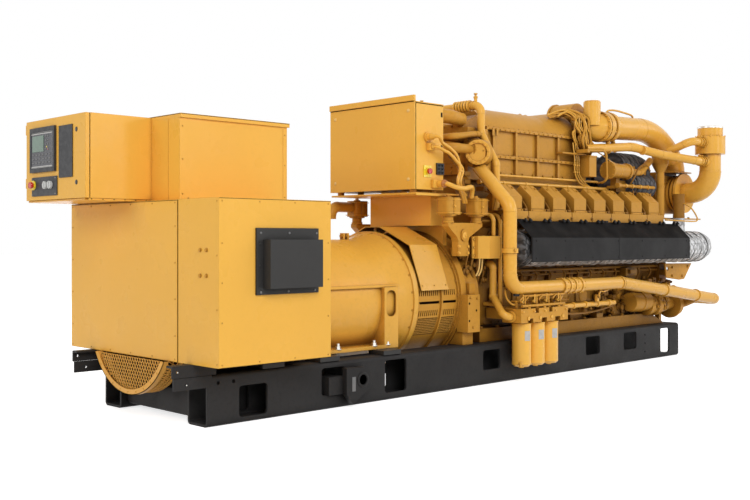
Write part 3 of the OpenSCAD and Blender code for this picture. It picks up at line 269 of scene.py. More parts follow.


# darker colours that paints turn to in crevices and between parts: painted shade
CREVICE_SHADE = (0.20, 0.07, 0.009)
DARK_CREVICE_SHADE = (0.006, 0.005, 0.005)
paint("sheet", (0.88, 0.475, 0.072), (0.50, 0.22, 0.03), 0.30, 520, 0.0004, coat=0.08, reach=0.05, drift=0.025,
      specular=0.17)
paint("frame", (0.80, 0.42, 0.06), CREVICE_SHADE, 0.30, 260, 0.001, edge=0.005, coat=0.12)
paint("cast", (0.62, 0.30, 0.04), (0.13, 0.043, 0.005), 0.38, 150, 0.003, edge=0.005, coat=0.05, reach=0.16, drift=0.1,
      specular=0.13)
# a darker copy of the cast paint for the engine's block, oil pan and mounts, which lie in shade: painted shade
paint("cast_in_shade", (0.36, 0.17, 0.022), (0.06, 0.02, 0.003), 0.42, 150, 0.003, edge=0.005, reach=0.2, drift=0.14,
      specular=0.13)
paint("pipe", (0.84, 0.44, 0.062), CREVICE_SHADE, 0.26, 260, 0.0008, coat=0.12, reach=0.1, drift=0.04)
# a dark brownish copy of the yellow paint for small fittings and lines on the engine's shaded sides: painted shade
paint("clutter_in_shade", (0.32, 0.145, 0.02), (0.05, 0.018, 0.003), 0.45, 200, 0.0016, reach=0.09, drift=0.16, specular=0.18)
paint("filter", (0.92, 0.50, 0.075), (0.55, 0.24, 0.03), 0.25, 500, 0.0004, coat=0.2, reach=0.04, drift=0.03)
paint("rail", (0.031, 0.0298, 0.0298), DARK_CREVICE_SHADE, 0.5, 330, 0.0012, edge=0.004, drift=0.16, specular=0.1)
paint("duct", (0.045, 0.044, 0.043), (0.012, 0.011, 0.01), 0.4, 400, 0.0008, specular=0.14)
paint("shield", (0.019, 0.018, 0.018), DARK_CREVICE_SHADE, 0.5, 260, 0.001, specular=0.11)
# a darker copy of the shield paint, for the shield's upward faces and the discs in the rail's holes: painted shade
paint("shaded_black", (0.006, 0.0055, 0.0055), (0.003, 0.003, 0.003), 0.6, 260, 0.001, specular=0.05)
paint("shadow", (0.020, 0.010, 0.004), (0.01, 0.005, 0.002), 0.8, 120, 0.002, specular=0.08)
paint("mesh", (0.78, 0.40, 0.075), (0.35, 0.15, 0.03), 0.42, 400, 0.0006, reach=0.02)
bare_metal("steel", (0.72, 0.71, 0.68), 0.32)
bare_metal("dull_steel", (0.30, 0.27, 0.22), 0.45)
plastic("black_plastic", (0.016, 0.016, 0.018), 0.45)
plastic("white_plastic", (0.55, 0.55, 0.53), 0.30, coat=0.4)
plastic("red_plastic", (0.62, 0.022, 0.014), 0.26, coat=0.6)
plastic("yellow_plastic", (0.88, 0.66, 0.02), 0.3, coat=0.4)
plastic("orange_plastic", (0.46, 0.17, 0.035), 0.35, coat=0.3)
plastic("key", (0.15, 0.15, 0.15), 0.4)
plastic("panel", (0.075, 0.075, 0.085), 0.3)
plastic("screen", (0.075, 0.16, 0.10), 0.14, grain=60, coat=0.8)
plastic("label", (0.50, 0.49, 0.47), 0.4, grain=300)
plastic("lead", (0.82, 0.54, 0.17), 0.4, grain=300)
quilted("wrap", (0.66, 0.66, 0.67), (0.34, 0.34, 0.34), 0.1, 0.40, 0.05, 0.007)
# a dark copy of the silver wrap: painted shade at the wrap's two ends, and the dark colour of its lacing
quilted("shaded_wrap_and_dark_ties", (0.10, 0.098, 0.10), (0.02, 0.02, 0.02), 0.25, 0.5, 0.04, 0.012)
quilted("blanket", (0.10, 0.098, 0.102), (0.03, 0.03, 0.032), 0.0, 0.72, 0.06, 0.014)

NODES_IN = {        # the nodes of each finish; the rest are cast
    "rail": "base_rail_right base_rail_left base_crossmembers lifting_bar rear_brackets drive_coupling "
            "vibration_damper",
    "duct": "mounting_pads air_ducts",
    "frame": "generator_frame coupling_guard",
    "cast_in_shade": "engine_block oil_pan engine_mounts",
    "sheet": "generator_enclosure generator_end_panel terminal_box terminal_box_lid control_cabinet control_door "
             "junction_box junction_box_cover junction_box_stand control_module",
    "mesh": "fan_screen",
    "black_plastic": "control_panel",
    "white_plastic": "control_switches",
    "red_plastic": "door_stop_button box_stop_button",
    "shield": "heat_shields",
    "wrap": "exhaust_manifolds",
    "blanket": "turbochargers",
    "pipe": "charge_air_pipe vent_pipe coolant_pipes coolant_hoses fuel_pipes coolant_outlet",
    "filter": "fuel_filters",
}


def dress_nodes():
    """Gives each CAD node its finish: that of its real material, and for the engine's block, pan and mounts a darker
    copy of the cast paint, painted shade
    """
    finish_of = {node: finish for finish, nodes in NODES_IN.items() for node in nodes.split()}
    for name, node in NODES.items():
        node.data.materials.clear()
        node.data.materials.append(FINISH[finish_of.get(name, "cast")])


def repaint(name, finish, wanted):
    """Gives another finish to the faces of a node whose middle (mm) and normal pass a test"""
    mesh = NODES[name].data
    mesh.materials.append(FINISH[finish])
    for polygon in mesh.polygons:
        if wanted(polygon.center * 1000, polygon.normal):
            polygon.material_index = len(mesh.materials) - 1


# ---------------------------------------------------------------- building pieces

def across(axis):
    """Two directions square to an axis"""
    axis = Vector(axis).normalized()
    side = axis.cross(Vector(UP if abs(axis.z) < 0.9 else AHEAD)).normalized()
    return side, axis.cross(side).normalized()


def spaced(start, end, pitch):
    """Points from start to end, evenly spaced at about a pitch"""
    start, end = Vector(start), Vector(end)
    count = max(1, round((end - start).length / pitch))
    return [start.lerp(end, i / count) for i in range(count + 1)]


def around(centre, axis, radius, count, turn=0.0):
    """Points round a circle"""
    side, up = across(axis)
    angles = [turn + 2 * math.pi * i / count for i in range(count)]
    return [Vector(centre) + side * radius * math.cos(a) + up * radius * math.sin(a) for a in angles]


def flowing(points, steps=6):
    """A smooth curve through points"""
    points = [Vector(p) for p in points]
    ends = [points[0] * 2 - points[1]] + points + [points[-1] * 2 - points[-2]]
    path = []
    for i in range(1, len(ends) - 2):
        a, b, c, d = ends[i - 1:i + 3]
        for k in range(steps):
            t = k / steps
            path.append(0.5 * (2 * b + (c - a) * t + (2 * a - 5 * b + 4 * c - d) * t * t
                               + (3 * b - a - 3 * c + d) * t ** 3))
    return path + [points[-1]]


def bent(points, radius, steps=6):
    """Straight legs joined by round bends"""
    points = [Vector(p) for p in points]
    path = [points[0]]
    for a, b, c in zip(points, points[1:], points[2:]):
        into, away = (a - b).normalized(), (c - b).normalized()
        reach = min(radius, (a - b).length * 0.45, (c - b).length * 0.45)
        start, end = b + into * reach, b + away * reach
        for k in range(steps + 1):
            t = k / steps
            path.append(start * (1 - t) ** 2 + b * 2 * t * (1 - t) + end * t * t)
    return path + [points[-1]]


def direction(path, i):
    """The way a path runs at one of its points"""
    return (path[min(i + 1, len(path) - 1)] - path[max(i - 1, 0)]).normalized()


class Piece:
    """One piece; its parts may differ in finish"""

    def __init__(self, name, body="skid"):
        self.name = name
        self.body = body
        self.mesh = bmesh.new()
        self.finishes = []

    def loft(self, rings, finish):
        """Joins rings of points, and closes both ends"""
        if finish not in self.finishes:
            self.finishes.append(finish)
        slot, count = self.finishes.index(finish), len(rings[0])
        vertices = [self.mesh.verts.new(p) for ring in rings for p in ring]
        rows = []
        for i in range(0, (len(rings) - 1) * count, count):
            for j in range(count):
                k = (j + 1) % count
                rows.append((i + j, i + k, i + count + k, i + count + j))
        rows += [range(count)[::-1], range(len(vertices) - count, len(vertices))]
        for row in rows:
            face = self.mesh.faces.new([vertices[i] for i in row])
            face.material_index = slot
            face.smooth = True

    def turned(self, at, axis, profile, finish="cast", sides=20, turn=0.0):
        """A turned form: profile rows are (distance along the axis, radius)"""
        axis = Vector(axis).normalized()
        self.loft([around(Vector(at) + axis * h, axis, max(r, 0.05), sides, turn) for h, r in profile], finish)

    def disc(self, at, axis, length, radius, finish="cast", sides=12):
        """A short cylinder"""
        self.turned(at, axis, [(0, radius), (length, radius)], finish, sides)

    def tube(self, path, radius, finish, sides=8):
        """A tube along a path"""
        path = [Vector(p) for p in path]
        side = None
        rings = []
        for i, point in enumerate(path):
            along = direction(path, i)
            side = across(along)[0] if side is None else (side - along * side.dot(along)).normalized()
            up = along.cross(side)
            angles = [2 * math.pi * j / sides for j in range(sides)]
            rings.append([point + (side * math.cos(a) + up * math.sin(a)) * radius for a in angles])
        self.loft(rings, finish)

    def line(self, points, radius, finish, steps=6, sides=8):
        """A small pipe or cable that flows through points"""
        self.tube(flowing(points, steps), radius, finish, sides)

    def block(self, low, high, finish, bevel=0.0):
        """A box between two corners, with its edges broken"""
        low, high = Vector(low), Vector(high)
        rings = []
        for z, inset in [(low.z, bevel), (low.z + bevel, 0), (high.z - bevel, 0), (high.z, bevel)]:
            b = max(bevel, 0.01)
            x0, x1, y0, y1 = low.x + inset, high.x - inset, low.y + inset, high.y - inset
            rings.append([(x0 + b, y0, z), (x1 - b, y0, z), (x1, y0 + b, z), (x1, y1 - b, z),
                          (x1 - b, y1, z), (x0 + b, y1, z), (x0, y1 - b, z), (x0, y0 + b, z)])
        self.loft(rings if bevel else [rings[0], rings[-1]], finish)

    def sheet(self, outline, depth, finish):
        """A flat plate: an outline of points, and the way it is thick"""
        front = [Vector(p) for p in outline]
        self.loft([front, [p + Vector(depth) for p in front]], finish)

    def bolts(self, points, axis, size, finish="cast", washer=True):
        """Hexagon bolt heads on washers; size is across the flats"""
        for at in map(Vector, points):
            if washer:
                self.turned(at, axis, [(-1, size * 0.72), (size * 0.12, size * 0.72), (size * 0.14, size * 0.66)],
                            finish, 14)
            self.turned(at, axis, [(0, size * 0.56), (size * 0.52, size * 0.56), (size * 0.62, size * 0.47)],
                        finish, 6, turn=(at.x + at.z) % 1.0)

    def nuts(self, points, axis, size, finish="cast"):
        """Hexagon heads without washers"""
        self.bolts(points, axis, size, finish, washer=False)

    def screws(self, points, axis, size=5, finish="cast"):
        """Low domed screw heads; size is the radius"""
        for at in points:
            self.turned(at, axis, [(-1, size), (size * 0.25, size), (size * 0.55, size * 0.7),
                                   (size * 0.65, size * 0.2)], finish, 10)

    def done(self, replaces=(), angle=35, mirrored=False):
        """Makes the object, with its image on the far side where both sides have it, and ties it to its body"""
        if mirrored:
            near = self.mesh.verts[:] + self.mesh.edges[:] + self.mesh.faces[:]
            copy = bmesh.ops.duplicate(self.mesh, geom=near)["geom"]
            far = [item for item in copy if isinstance(item, bmesh.types.BMVert)]
            bmesh.ops.scale(self.mesh, vec=(1, -1, 1), verts=far)
        bmesh.ops.scale(self.mesh, vec=(0.001, 0.001, 0.001), verts=self.mesh.verts)
        bmesh.ops.recalc_face_normals(self.mesh, faces=self.mesh.faces)
        mesh = bpy.data.meshes.new(self.name)
        self.mesh.to_mesh(mesh)
        self.mesh.free()
        mesh.set_sharp_from_angle(angle=math.radians(angle))
        for finish in self.finishes:
            mesh.materials.append(FINISH[finish])
        piece = add_object(self.name, mesh)
        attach(piece, self.body)
        if replaces:
            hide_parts(*replaces)


def box_of(node):
    """A node's lowest and highest corners, in millimetres"""
    low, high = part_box(node)
    return low * 1000, high * 1000


def run(x, y, z, pitch):
    """Evenly spaced points along the one coordinate that is given as a pair"""
    start, end = zip(*[c if isinstance(c, tuple) else (c, c) for c in (x, y, z)])
    return spaced(start, end, pitch)


# ---------------------------------------------------------------- enclosure, cabinet and terminal box

PANEL_FOOT = 369.0          # the panels' lower edge; the floor plate's feet go lower


def dress_enclosure():
    """Screws round the panels, bolts on the end strip, the panels' joint lines and the ducts' screws"""
    low, high = box_of("generator_enclosure")
    panel_low, panel_high = box_of("generator_end_panel")
    low.z = panel_low.z = PANEL_FOOT
    sides = Piece("enclosure_side_screws")
    for z in (low.z + 16, high.z - 18):
        sides.screws(run((low.x + 22, high.x - 20), low.y, z, 255), NEAR)
    for x in (low.x + 22, high.x - 20):
        sides.screws(run(x, low.y, (low.z + 246, high.z - 250), 230), NEAR)
    for z0, z1, out in ((high.z - 5, high.z - 2.5, 0.8), (low.z - 1, low.z + 2, 1)):
        sides.block((low.x + 1, low.y - out, z0), (high.x, low.y + 1, z1), "shadow")
    sides.done(mirrored=True)

    end = Piece("enclosure_end_screws")
    x = panel_low.x
    for z in (panel_low.z + 16, panel_high.z - 16):
        end.screws(run(x, (panel_low.y + 22, panel_high.y - 18), z, 240), REAR)
    for y in (panel_low.y + 20, panel_high.y - 18):
        end.screws(run(x, y, (panel_low.z + 150, panel_high.z - 150), 240), REAR)
    end.screws(run(low.x, low.y + 18, (low.z + 20, high.z - 20), 300), REAR)
    end.bolts([(low.x, y, z) for y in (-710, -650) for z in (870, 1012)], REAR, 17)
    end.block((low.x - 1, panel_low.y - 6, low.z + 2), (low.x + 1, panel_low.y - 1, high.z - 2), "shadow")
    end.block((x - 0.8, panel_low.y, panel_high.z - 4), (x + 1, panel_high.y, panel_high.z - 1.5), "shadow")
    end.done()

    duct_low, duct_high = box_of("air_ducts")
    y = low.y - 12
    hood = Piece("duct_screws")
    for z, inset in ((duct_high.z - 28, 16), (duct_low.z + 15, 30)):
        hood.screws(run((duct_low.x + 30, duct_high.x - inset), y, z, 185), NEAR, 7, "key")
    for x in (duct_low.x + 22, duct_high.x - 12):
        hood.screws(run(x, y, (duct_low.z + 40, duct_high.z - 90), 140), NEAR, 7, "duct")
    hood.done(mirrored=True)


def dress_terminal_box():
    """Screws at the box's edges, the folds of its end sheet and the joint line round its lid"""
    low, high = box_of("terminal_box")
    lid_low, lid_high = box_of("terminal_box_lid")
    piece = Piece("terminal_box_fittings")
    for z in (low.z + 40, low.z + 245, high.z - 50):
        piece.screws([(high.x - 18, low.y, z), (low.x + 20, low.y, z)], NEAR)
        piece.screws([(high.x, low.y + 30, z), (high.x, high.y - 30, z)], AHEAD, 6)
    piece.screws(run((low.x + 60, high.x - 60), low.y, low.z + 16, 220), NEAR)
    piece.block((low.x - 2.5, low.y + 118, low.z), (low.x, low.y + 124, high.z), "sheet")
    piece.block((high.x - 34, low.y - 1.5, low.z), (high.x - 32, low.y, high.z - 8), "sheet")
    for y in (lid_low.y + 40, lid_high.y - 40):
        piece.screws(run((lid_low.x + 50, lid_high.x - 50), y, lid_high.z - 1, 230), UP, 7)
    z0, z1 = lid_high.z - 5, lid_high.z - 2
    piece.block((lid_low.x + 3, lid_low.y - 0.8, z0), (lid_high.x - 3, lid_low.y + 2, z1), "shadow")
    piece.block((lid_low.x - 0.8, lid_low.y + 3, z0), (lid_low.x + 2, lid_high.y - 3, z1), "shadow")
    piece.done()


def dress_cabinet():
    """The gutter under the cabinet, and the works behind its door"""
    low, high = box_of("control_cabinet")
    base = box_of("generator_enclosure")[1].z
    ledge = Piece("cabinet_gutter")
    ledge.block((low.x + 24, low.y + 6, base - 1), (high.x - 2, low.y + 30, low.z + 0.5), "sheet", 2)
    ledge.block((low.x + 8, low.y + 30, base + 2), (high.x - 2, 796, low.z + 0.5), "sheet", 2)
    ledge.screws(run((low.x + 40, high.x - 30), low.y + 6, low.z - 6, 70), NEAR, 3.4, "shadow")
    ledge.done()
    works = Piece("switchgear")
    back = high.x - 12
    works.block((back - 4, low.y + 30, low.z + 40), (back, high.y - 44, high.z - 40), "label", 1)
    for z in (low.z + 120, low.z + 250, low.z + 380):
        works.block((back - 14, low.y + 50, z - 18), (back - 4, high.y - 70, z + 18), "steel", 1)
        for i in range(9):
            y, front = low.y + 70 + i * 64, back - 70 - 18 * (i % 3)
            works.block((front, y, z - 40), (back - 14, y + 50, z + 40),
                        "black_plastic" if i % 4 else "white_plastic", 3)
            works.screws([(front, y + 25, z + 26)], REAR, 5, "steel")
    for y in (low.y + 44, high.y - 62):
        works.block((back - 60, y - 14, low.z + 50), (back - 4, y + 14, high.z - 50), "duct", 3)
    works.done()


def dress_door():
    """Latches, the controller's front and the plates' screws, all on the door"""
    low, high = box_of("control_cabinet")
    face = box_of("control_door")[0].x + 12          # the sheet's face, behind the stop button's collar
    edge, top = high.y - 15, high.z
    latches = Piece("door_latches", "door")
    for z in (low.z + 95, high.z - 92):
        latches.turned((face + 3, low.y + 109, z), REAR, [(0, 14), (4, 14), (5.5, 12), (4.5, 7), (4.5, 0)],
                       "black_plastic", 24)
        latches.block((face - 4, low.y + 107, z - 9), (face - 1.2, low.y + 111, z + 9), "dull_steel", 0.5)
    latches.done()

    front = Piece("controller_front", "door")
    x = face - 12
    y0, y1, z0, z1 = edge - 385, edge - 95, top - 301, top - 77
    screen_y, screen_z = edge - 151, top - 148
    for z in (z0 + 6, z1 - 15):
        front.block((x - 1.2, y0 + 6, z), (x - 0.2, y1 - 6, z + 7), "label", 0.3)
    for y in (y0 + 2, y1 - 4):
        front.block((x - 1, y, z0 + 2), (x - 0.2, y + 2.5, z1 - 2), "label", 0.2)
    for z in (z0 + 2, z1 - 4):
        front.block((x - 1, y0 + 2, z), (x - 0.2, y1 - 2, z + 2.5), "label", 0.2)
    front.block((x - 0.8, y0 + 6, z0 + 13), (x - 0.1, y1 - 6, z1 - 15), "panel", 0.2)
    front.block((x - 3.4, screen_y - 122, screen_z - 52), (x - 2.2, screen_y + 30, screen_z + 48), "screen", 0.4)
    keys = [(y0 + 34 + column * 44, z0 + 34 + row * 24, 11) for row in range(3) for column in range(6)]
    keys += [(screen_y - dy, screen_z + 42 - row * 26, 8) for row in range(4) for dy in (150, 178)]
    for y, z, half in keys:
        front.block((x - 3, y - half, z - 6), (x, y + half, z + 6), "key", 1.2)
    for y, z, finish in ((y0 + 74, screen_z - 26, "yellow_plastic"), (y0 + 60, screen_z - 40, "red_plastic")):
        front.turned((x - 0.5, y, z), REAR, [(0, 5), (2, 5), (3.5, 2)], finish, 12)
    front.screws([(x + 8, edge - dy, top - dz) for dy in (86, 394) for dz in (62, 314)], REAR, 5, "dull_steel")
    front.screws([(face - 6, edge - dy, low.z + dz) for dy in (98, 408) for dz in (36, 132)], REAR, 4.5, "dull_steel")
    front.done()


def build_fan_screen():
    """Wire screen in a rim, over the fan"""
    low, high = box_of("fan_screen")
    cut, x0, x1 = high.z, low.x, high.x
    middle_y, middle_z, outer, pitch, wire = 40.0, 595.0, 455.0, 23.0, 2.9
    piece = Piece("fan_screen_mesh")

    def at(x, radius, angle):
        return Vector((x, middle_y + radius * math.sin(angle), middle_z - radius * math.cos(angle)))

    def arc(radius, x, steps=64):
        """Points of a circle, as far as the enclosure's floor"""
        reach = math.acos(min(1, (middle_z - cut) / radius))
        return [at(x, radius, -reach + 2 * reach * i / steps) for i in range(steps + 1)]

    for radius, start, end, thick in ((outer, 0, 34, 5), (outer, 0, 4, 34), (outer - 2, x1 - x0 - 22, x1 - x0, 6),
                                      (outer - 5, 70, 75, 4), (outer - 5, 104, 109, 4)):
        start, end, inner = start + x0, end + x0, radius - thick
        corners = zip(arc(radius, start), arc(inner, start), arc(inner, end), arc(radius, end))
        piece.loft([list(ring) for ring in corners], "mesh")
    face_radius = outer - 30
    count = int(face_radius / pitch)
    for turn in (math.radians(55), math.radians(-55)):
        along = Vector((0, math.cos(turn), math.sin(turn)))
        aside = Vector((0, -math.sin(turn), math.cos(turn)))
        for i in range(-count, count + 1):
            end = math.sqrt(max(0.0, face_radius ** 2 - (i * pitch) ** 2))
            start = -end
            origin = Vector((x0 + 16, middle_y, middle_z)) + aside * i * pitch
            room = (cut - 2 - origin.z) / along.z
            if turn > 0:
                end = min(end, room)
            else:
                start = max(start, room)
            if end - start > 8:
                piece.tube([origin + along * start, origin + along * end], wire, "mesh", 5)
    wall = outer - 7
    reach = math.acos((middle_z - cut) / wall)
    span = x1 - x0 - 56
    wires = int(2 * reach * wall / pitch)
    for i in range(wires + 1):
        for lean in (-1, 1):
            first = -reach + 2 * reach * i / wires
            turned = lean * span * 0.58 / wall
            if abs(first + turned) <= reach:
                piece.tube([at(x0 + 34 + span * k / 3, wall, first + turned * k / 3) for k in range(4)], wire,
                           "mesh", 5)
    piece.screws([p for p in arc(outer - 17, x0 + 1, 10) if p.z < cut - 12], REAR, 6)
    piece.done(replaces=("fan_screen",))

    fan = Piece("fan_behind_screen")
    fan.loft([arc(outer - 16, x0 + 96, 40), arc(outer - 16, x0 + 100, 40)], "shadow")
    for i in range(13):
        tip, hub = [at(x0 + 60, r, -1.0 + 2.0 * i / 12) for r in (410, 150)]
        if tip.z > cut - 10:
            continue
        if hub.z > cut - 4:
            hub = tip.lerp(hub, (cut - 6 - tip.z) / (hub.z - tip.z))
        fan.sheet([tip, hub, hub + Vector((30, 6, 0)), tip + Vector((30, 12, 0))], (0, 6, 0), "shadow")
    fan.done()


# ---------------------------------------------------------------- generator and coupling

SHAFT_Z = 640.0
RING_X = -795.0             # the drum's ring, at the generator's front
HOUSING_X = -351.0          # the drum's other end, where the flywheel housing starts
DRUM_RADIUS = 470.0


def dress_generator():
    """Foot bolts with their studs, the ring's bolts and the lugs' pins"""
    feet = Piece("generator_foot_bolts")
    for x in (-1512, -1186, -1062, -1800):
        feet.bolts([(x, -446, 354)], UP, 34, "steel")
        feet.turned((x, -446, 374), UP, [(0, 11), (16, 11), (18, 9)], "steel", 14)
    feet.done(mirrored=True)
    ring = Piece("generator_ring_bolts")
    ring.bolts([p for p in around((RING_X - 40, 0, SHAFT_Z), REAR, 470, 24, 0.13) if p.z > 380], REAR, 18)
    for x in (RING_X - 248, RING_X - 288):
        ring.disc((x, 0, SHAFT_Z + 454), AHEAD, 32, 15, sides=16)
    ring.done()


def dress_coupling():
    """Wire mesh in the drum's windows, a shadow-dark sheet behind it that paints the shade inside the drum, its studs,
    and the guard's bolts
    """
    middle = RING_X + 444 * 0.56
    z0, z1 = SHAFT_Z - 252, SHAFT_Z - 126

    def at(x, z, radius=DRUM_RADIUS - 6):
        return (x, -math.sqrt(radius ** 2 - (z - SHAFT_Z) ** 2), z)

    screens = Piece("drum_screens")
    for x0, x1 in ((RING_X + 28, middle - 8), (middle + 22, HOUSING_X - 24)):
        for p in run((x0, x1), 0, 0, 13):
            screens.tube([at(p.x, z0 + (z1 - z0) * k / 5) for k in range(6)], 2.0, "mesh", 4)
        for p in run(0, 0, (z0, z1), 12.6):
            screens.tube([at(x0, p.z), at(x1, p.z)], 2.0, "mesh", 4)
    screens.done(mirrored=True)
    # a shadow-dark sheet inside the drum, behind the mesh: painted shade
    dark_sheet = Piece("drum_shade_sheet")
    rows = []
    for k in range(9):
        x, y, z = at(RING_X + 4, SHAFT_Z - 262 + k * 48, DRUM_RADIUS - 30)
        rows.append([(x, y, z), (HOUSING_X - 2, y, z), (HOUSING_X - 2, y + 4, z), (x, y + 4, z)])
    dark_sheet.loft(rows, "shadow")
    dark_sheet.done(mirrored=True)
    studs = Piece("drum_bolts")
    for x, way in ((RING_X + 14, AHEAD), (HOUSING_X - 14, REAR)):
        ring = around((x, 0, SHAFT_Z), way, DRUM_RADIUS + 7, 28, 0.05)
        studs.nuts([p for p in ring if p.z > 400], way, 12)
    studs.done()
    guard = Piece("guard_bolts")
    for x in (RING_X + 44, RING_X + 165, RING_X + 286):
        for y, z, lean in ((488, 745, 70), (396, 985, 70), (110, 1146, 25)):
            lean = math.radians(lean)
            guard.bolts([(x, -y, z)], (0, -math.sin(lean), math.cos(lean)), 9, "frame")
    guard.done(mirrored=True)


def dress_housing():
    """Studs round the bell housing and its foot plate's holes and bolts"""
    piece = Piece("housing_studs")
    for x, way, radius, count, size in ((HOUSING_X, REAR, 483, 36, 13), (HOUSING_X + 60, AHEAD, 486, 30, 16)):
        ring = around((x, 0, SHAFT_Z), way, radius, count, 0.08)
        piece.nuts([p for p in ring if p.z > 420], way, size)
    piece.done()
    plate = Piece("housing_foot_fixings")
    plate.bolts([(HOUSING_X + dx, -560, z) for dx, z in ((60, 430), (104, 640), (30, 648))], NEAR, 16)
    for dx, dz in ((20, -35), (98, -88), (20, -161)):
        plate.turned((HOUSING_X + dx, -556, SHAFT_Z + dz), NEAR, [(-3, 8.5), (0, 8.5)], "shadow", 16)
    plate.done(mirrored=True)


def crowd(name, seed, count, x_span, z_span, depth, size_span, lines=()):
    """Small plugs, blocks and fittings crowded on both sides, with lines across them"""
    piece = Piece(name)
    chance = random.Random(seed)
    for i in range(count):
        x, z = chance.uniform(*x_span), chance.uniform(*z_span)
        size, y = chance.uniform(*size_span), -chance.uniform(*depth)
        if i % 2:
            piece.turned((x, y + 30, z), NEAR, [(0, size), (40, size), (46, size * 0.7), (60, size * 0.6),
                                                (64, size * 0.3)], "clutter_in_shade", 12)
        else:
            piece.block((x - size, y, z - size * 1.2), (x + size * 1.3, y + 60, z + size * 1.2), "clutter_in_shade", 4)
            piece.nuts([(x, y, z)], NEAR, 12, "clutter_in_shade")
    for path, radius in lines:
        piece.line(path, radius, "clutter_in_shade", 5)
    piece.done(mirrored=True)


def dress_housing_sides():
    """Fittings and lines on the engine's rear corners"""
    lines = []
    for i in range(5):
        x = HOUSING_X + 125 + i * 62
        lines.append(([(x, -410, 1110 - 20 * i), (x + 16, -452, 1010), (x - 14, -446, 880),
                       (x + 8, -438, 760 + 20 * i), (x + 20, -404, 690 + 14 * i)], 6 + (i % 3) * 3))
    crowd("rear_corner_works", 11, 30, (HOUSING_X + 90, HOUSING_X + 410), (690, 1110), (400, 440), (10, 30), lines)


# ---------------------------------------------------------------- junction box

BOX_FACE = -444.0           # the junction box's near side


def dress_junction_box():
    """Fasteners, folds, sockets with their hoses, and the pin block"""
    low, high = box_of("junction_box")
    cover_low, cover_high = box_of("junction_box_cover")
    y, edge = BOX_FACE, cover_low.x
    piece = Piece("junction_box_fittings")
    for z in (low.z + 70, cover_high.z - 108):
        for side_y in (-384, 384):
            piece.turned((edge, side_y, z), REAR, [(-1, 13), (3, 13), (5, 10), (5, 6), (8, 5), (8, 0)], "lead")
    piece.screws([(-657 + dx, y - 4, 1555 + dz) for dx in (-26, 26) for dz in (-37, 37)], NEAR, 3, "steel")
    for z in (low.z + 14, low.z + 290, high.z - 90):
        piece.block((high.x - 26, y - 1.5, z), (high.x - 8, y, z + 34), "shadow", 0.4)
    piece.block((edge + 10, y - 1.5, low.z), (edge + 15, y, high.z), "shadow")
    piece.block((low.x, y - 1, high.z - 11), (high.x, y, high.z - 5), "shadow")
    piece.block((edge - 10, -446, cover_high.z - 42), (edge + 2, 446, cover_high.z), "sheet", 2)
    piece.block((edge - 1, -443, cover_high.z - 48), (edge + 1, 443, cover_high.z - 42), "shadow")
    piece.block((low.x, y - 3, high.z - 5), (high.x + 2, y + 8, high.z + 3), "sheet", 1)
    piece.block((low.x + 1, y - 4, low.z - 43), (high.x + 60, y, low.z - 27), "sheet", 1)
    for column in range(2):
        for row in range(3):
            piece.turned((low.x + 230 + column * 34, y - 22, low.z + 126 + row * 26), NEAR,
                         [(-1, 8), (3, 7.5), (3, 5), (-0.5, 4.5)], "black_plastic", 12)
    piece.done()
    hoses = Piece("box_hoses")
    sockets = [(low.x + dx, y - dy, low.z + dz) for dx, dy, dz in ((115, 44, 373), (137, 34, 304), (212, 74, 43))]
    upper, lower, big = sockets
    hoses.turned(upper, NEAR, [(-2, 25), (10, 25), (12, 20), (30, 17), (38, 12)], "frame")
    hoses.turned(lower, NEAR, [(-1, 18), (12, 18), (16, 12)], "frame", 18)
    hoses.turned(big, NEAR, [(-2, 29), (10, 29), (12, 24), (30, 20), (38, 14)], "orange_plastic")
    for i, (socket, out) in enumerate(((upper, 32), (lower, 10))):
        x, start_y, z = socket[0], socket[1] - out, socket[2]
        hoses.line([(x, start_y, z), (x + 14, start_y - 30, z - 5), (x + 80, -524, z - 42 + i * 14),
                    (-500 - i * 10, -524, 1722 - i * 36), (-424 - i * 8, -520, 1672 - i * 34),
                    (-384 + i * 26, -516, 1577), (-414 + i * 26, -520, 1484), (-350 + i * 26, -500, 1400),
                    (-290 + i * 26, -470, 1340)], 12, "pipe", 8, 12)
    hoses.line([(-563, -525, 1468), (-560, -560, 1462), (-500, -586, 1440), (-420, -590, 1436), (-352, -588, 1448),
                (-300, -560, 1436), (-262, -520, 1380)], 17, "pipe", 8, 14)
    for x, z in ((-384, 1560), (-430, 1668)):
        hoses.disc((x, -516, z), (0.4, 0, 1), 12, 16, "pipe", 14)
    hoses.done()


# ---------------------------------------------------------------- engine

COVER_X = [114 + 287 * i for i in range(8)]
BLOCK_FRONT = 2510.0


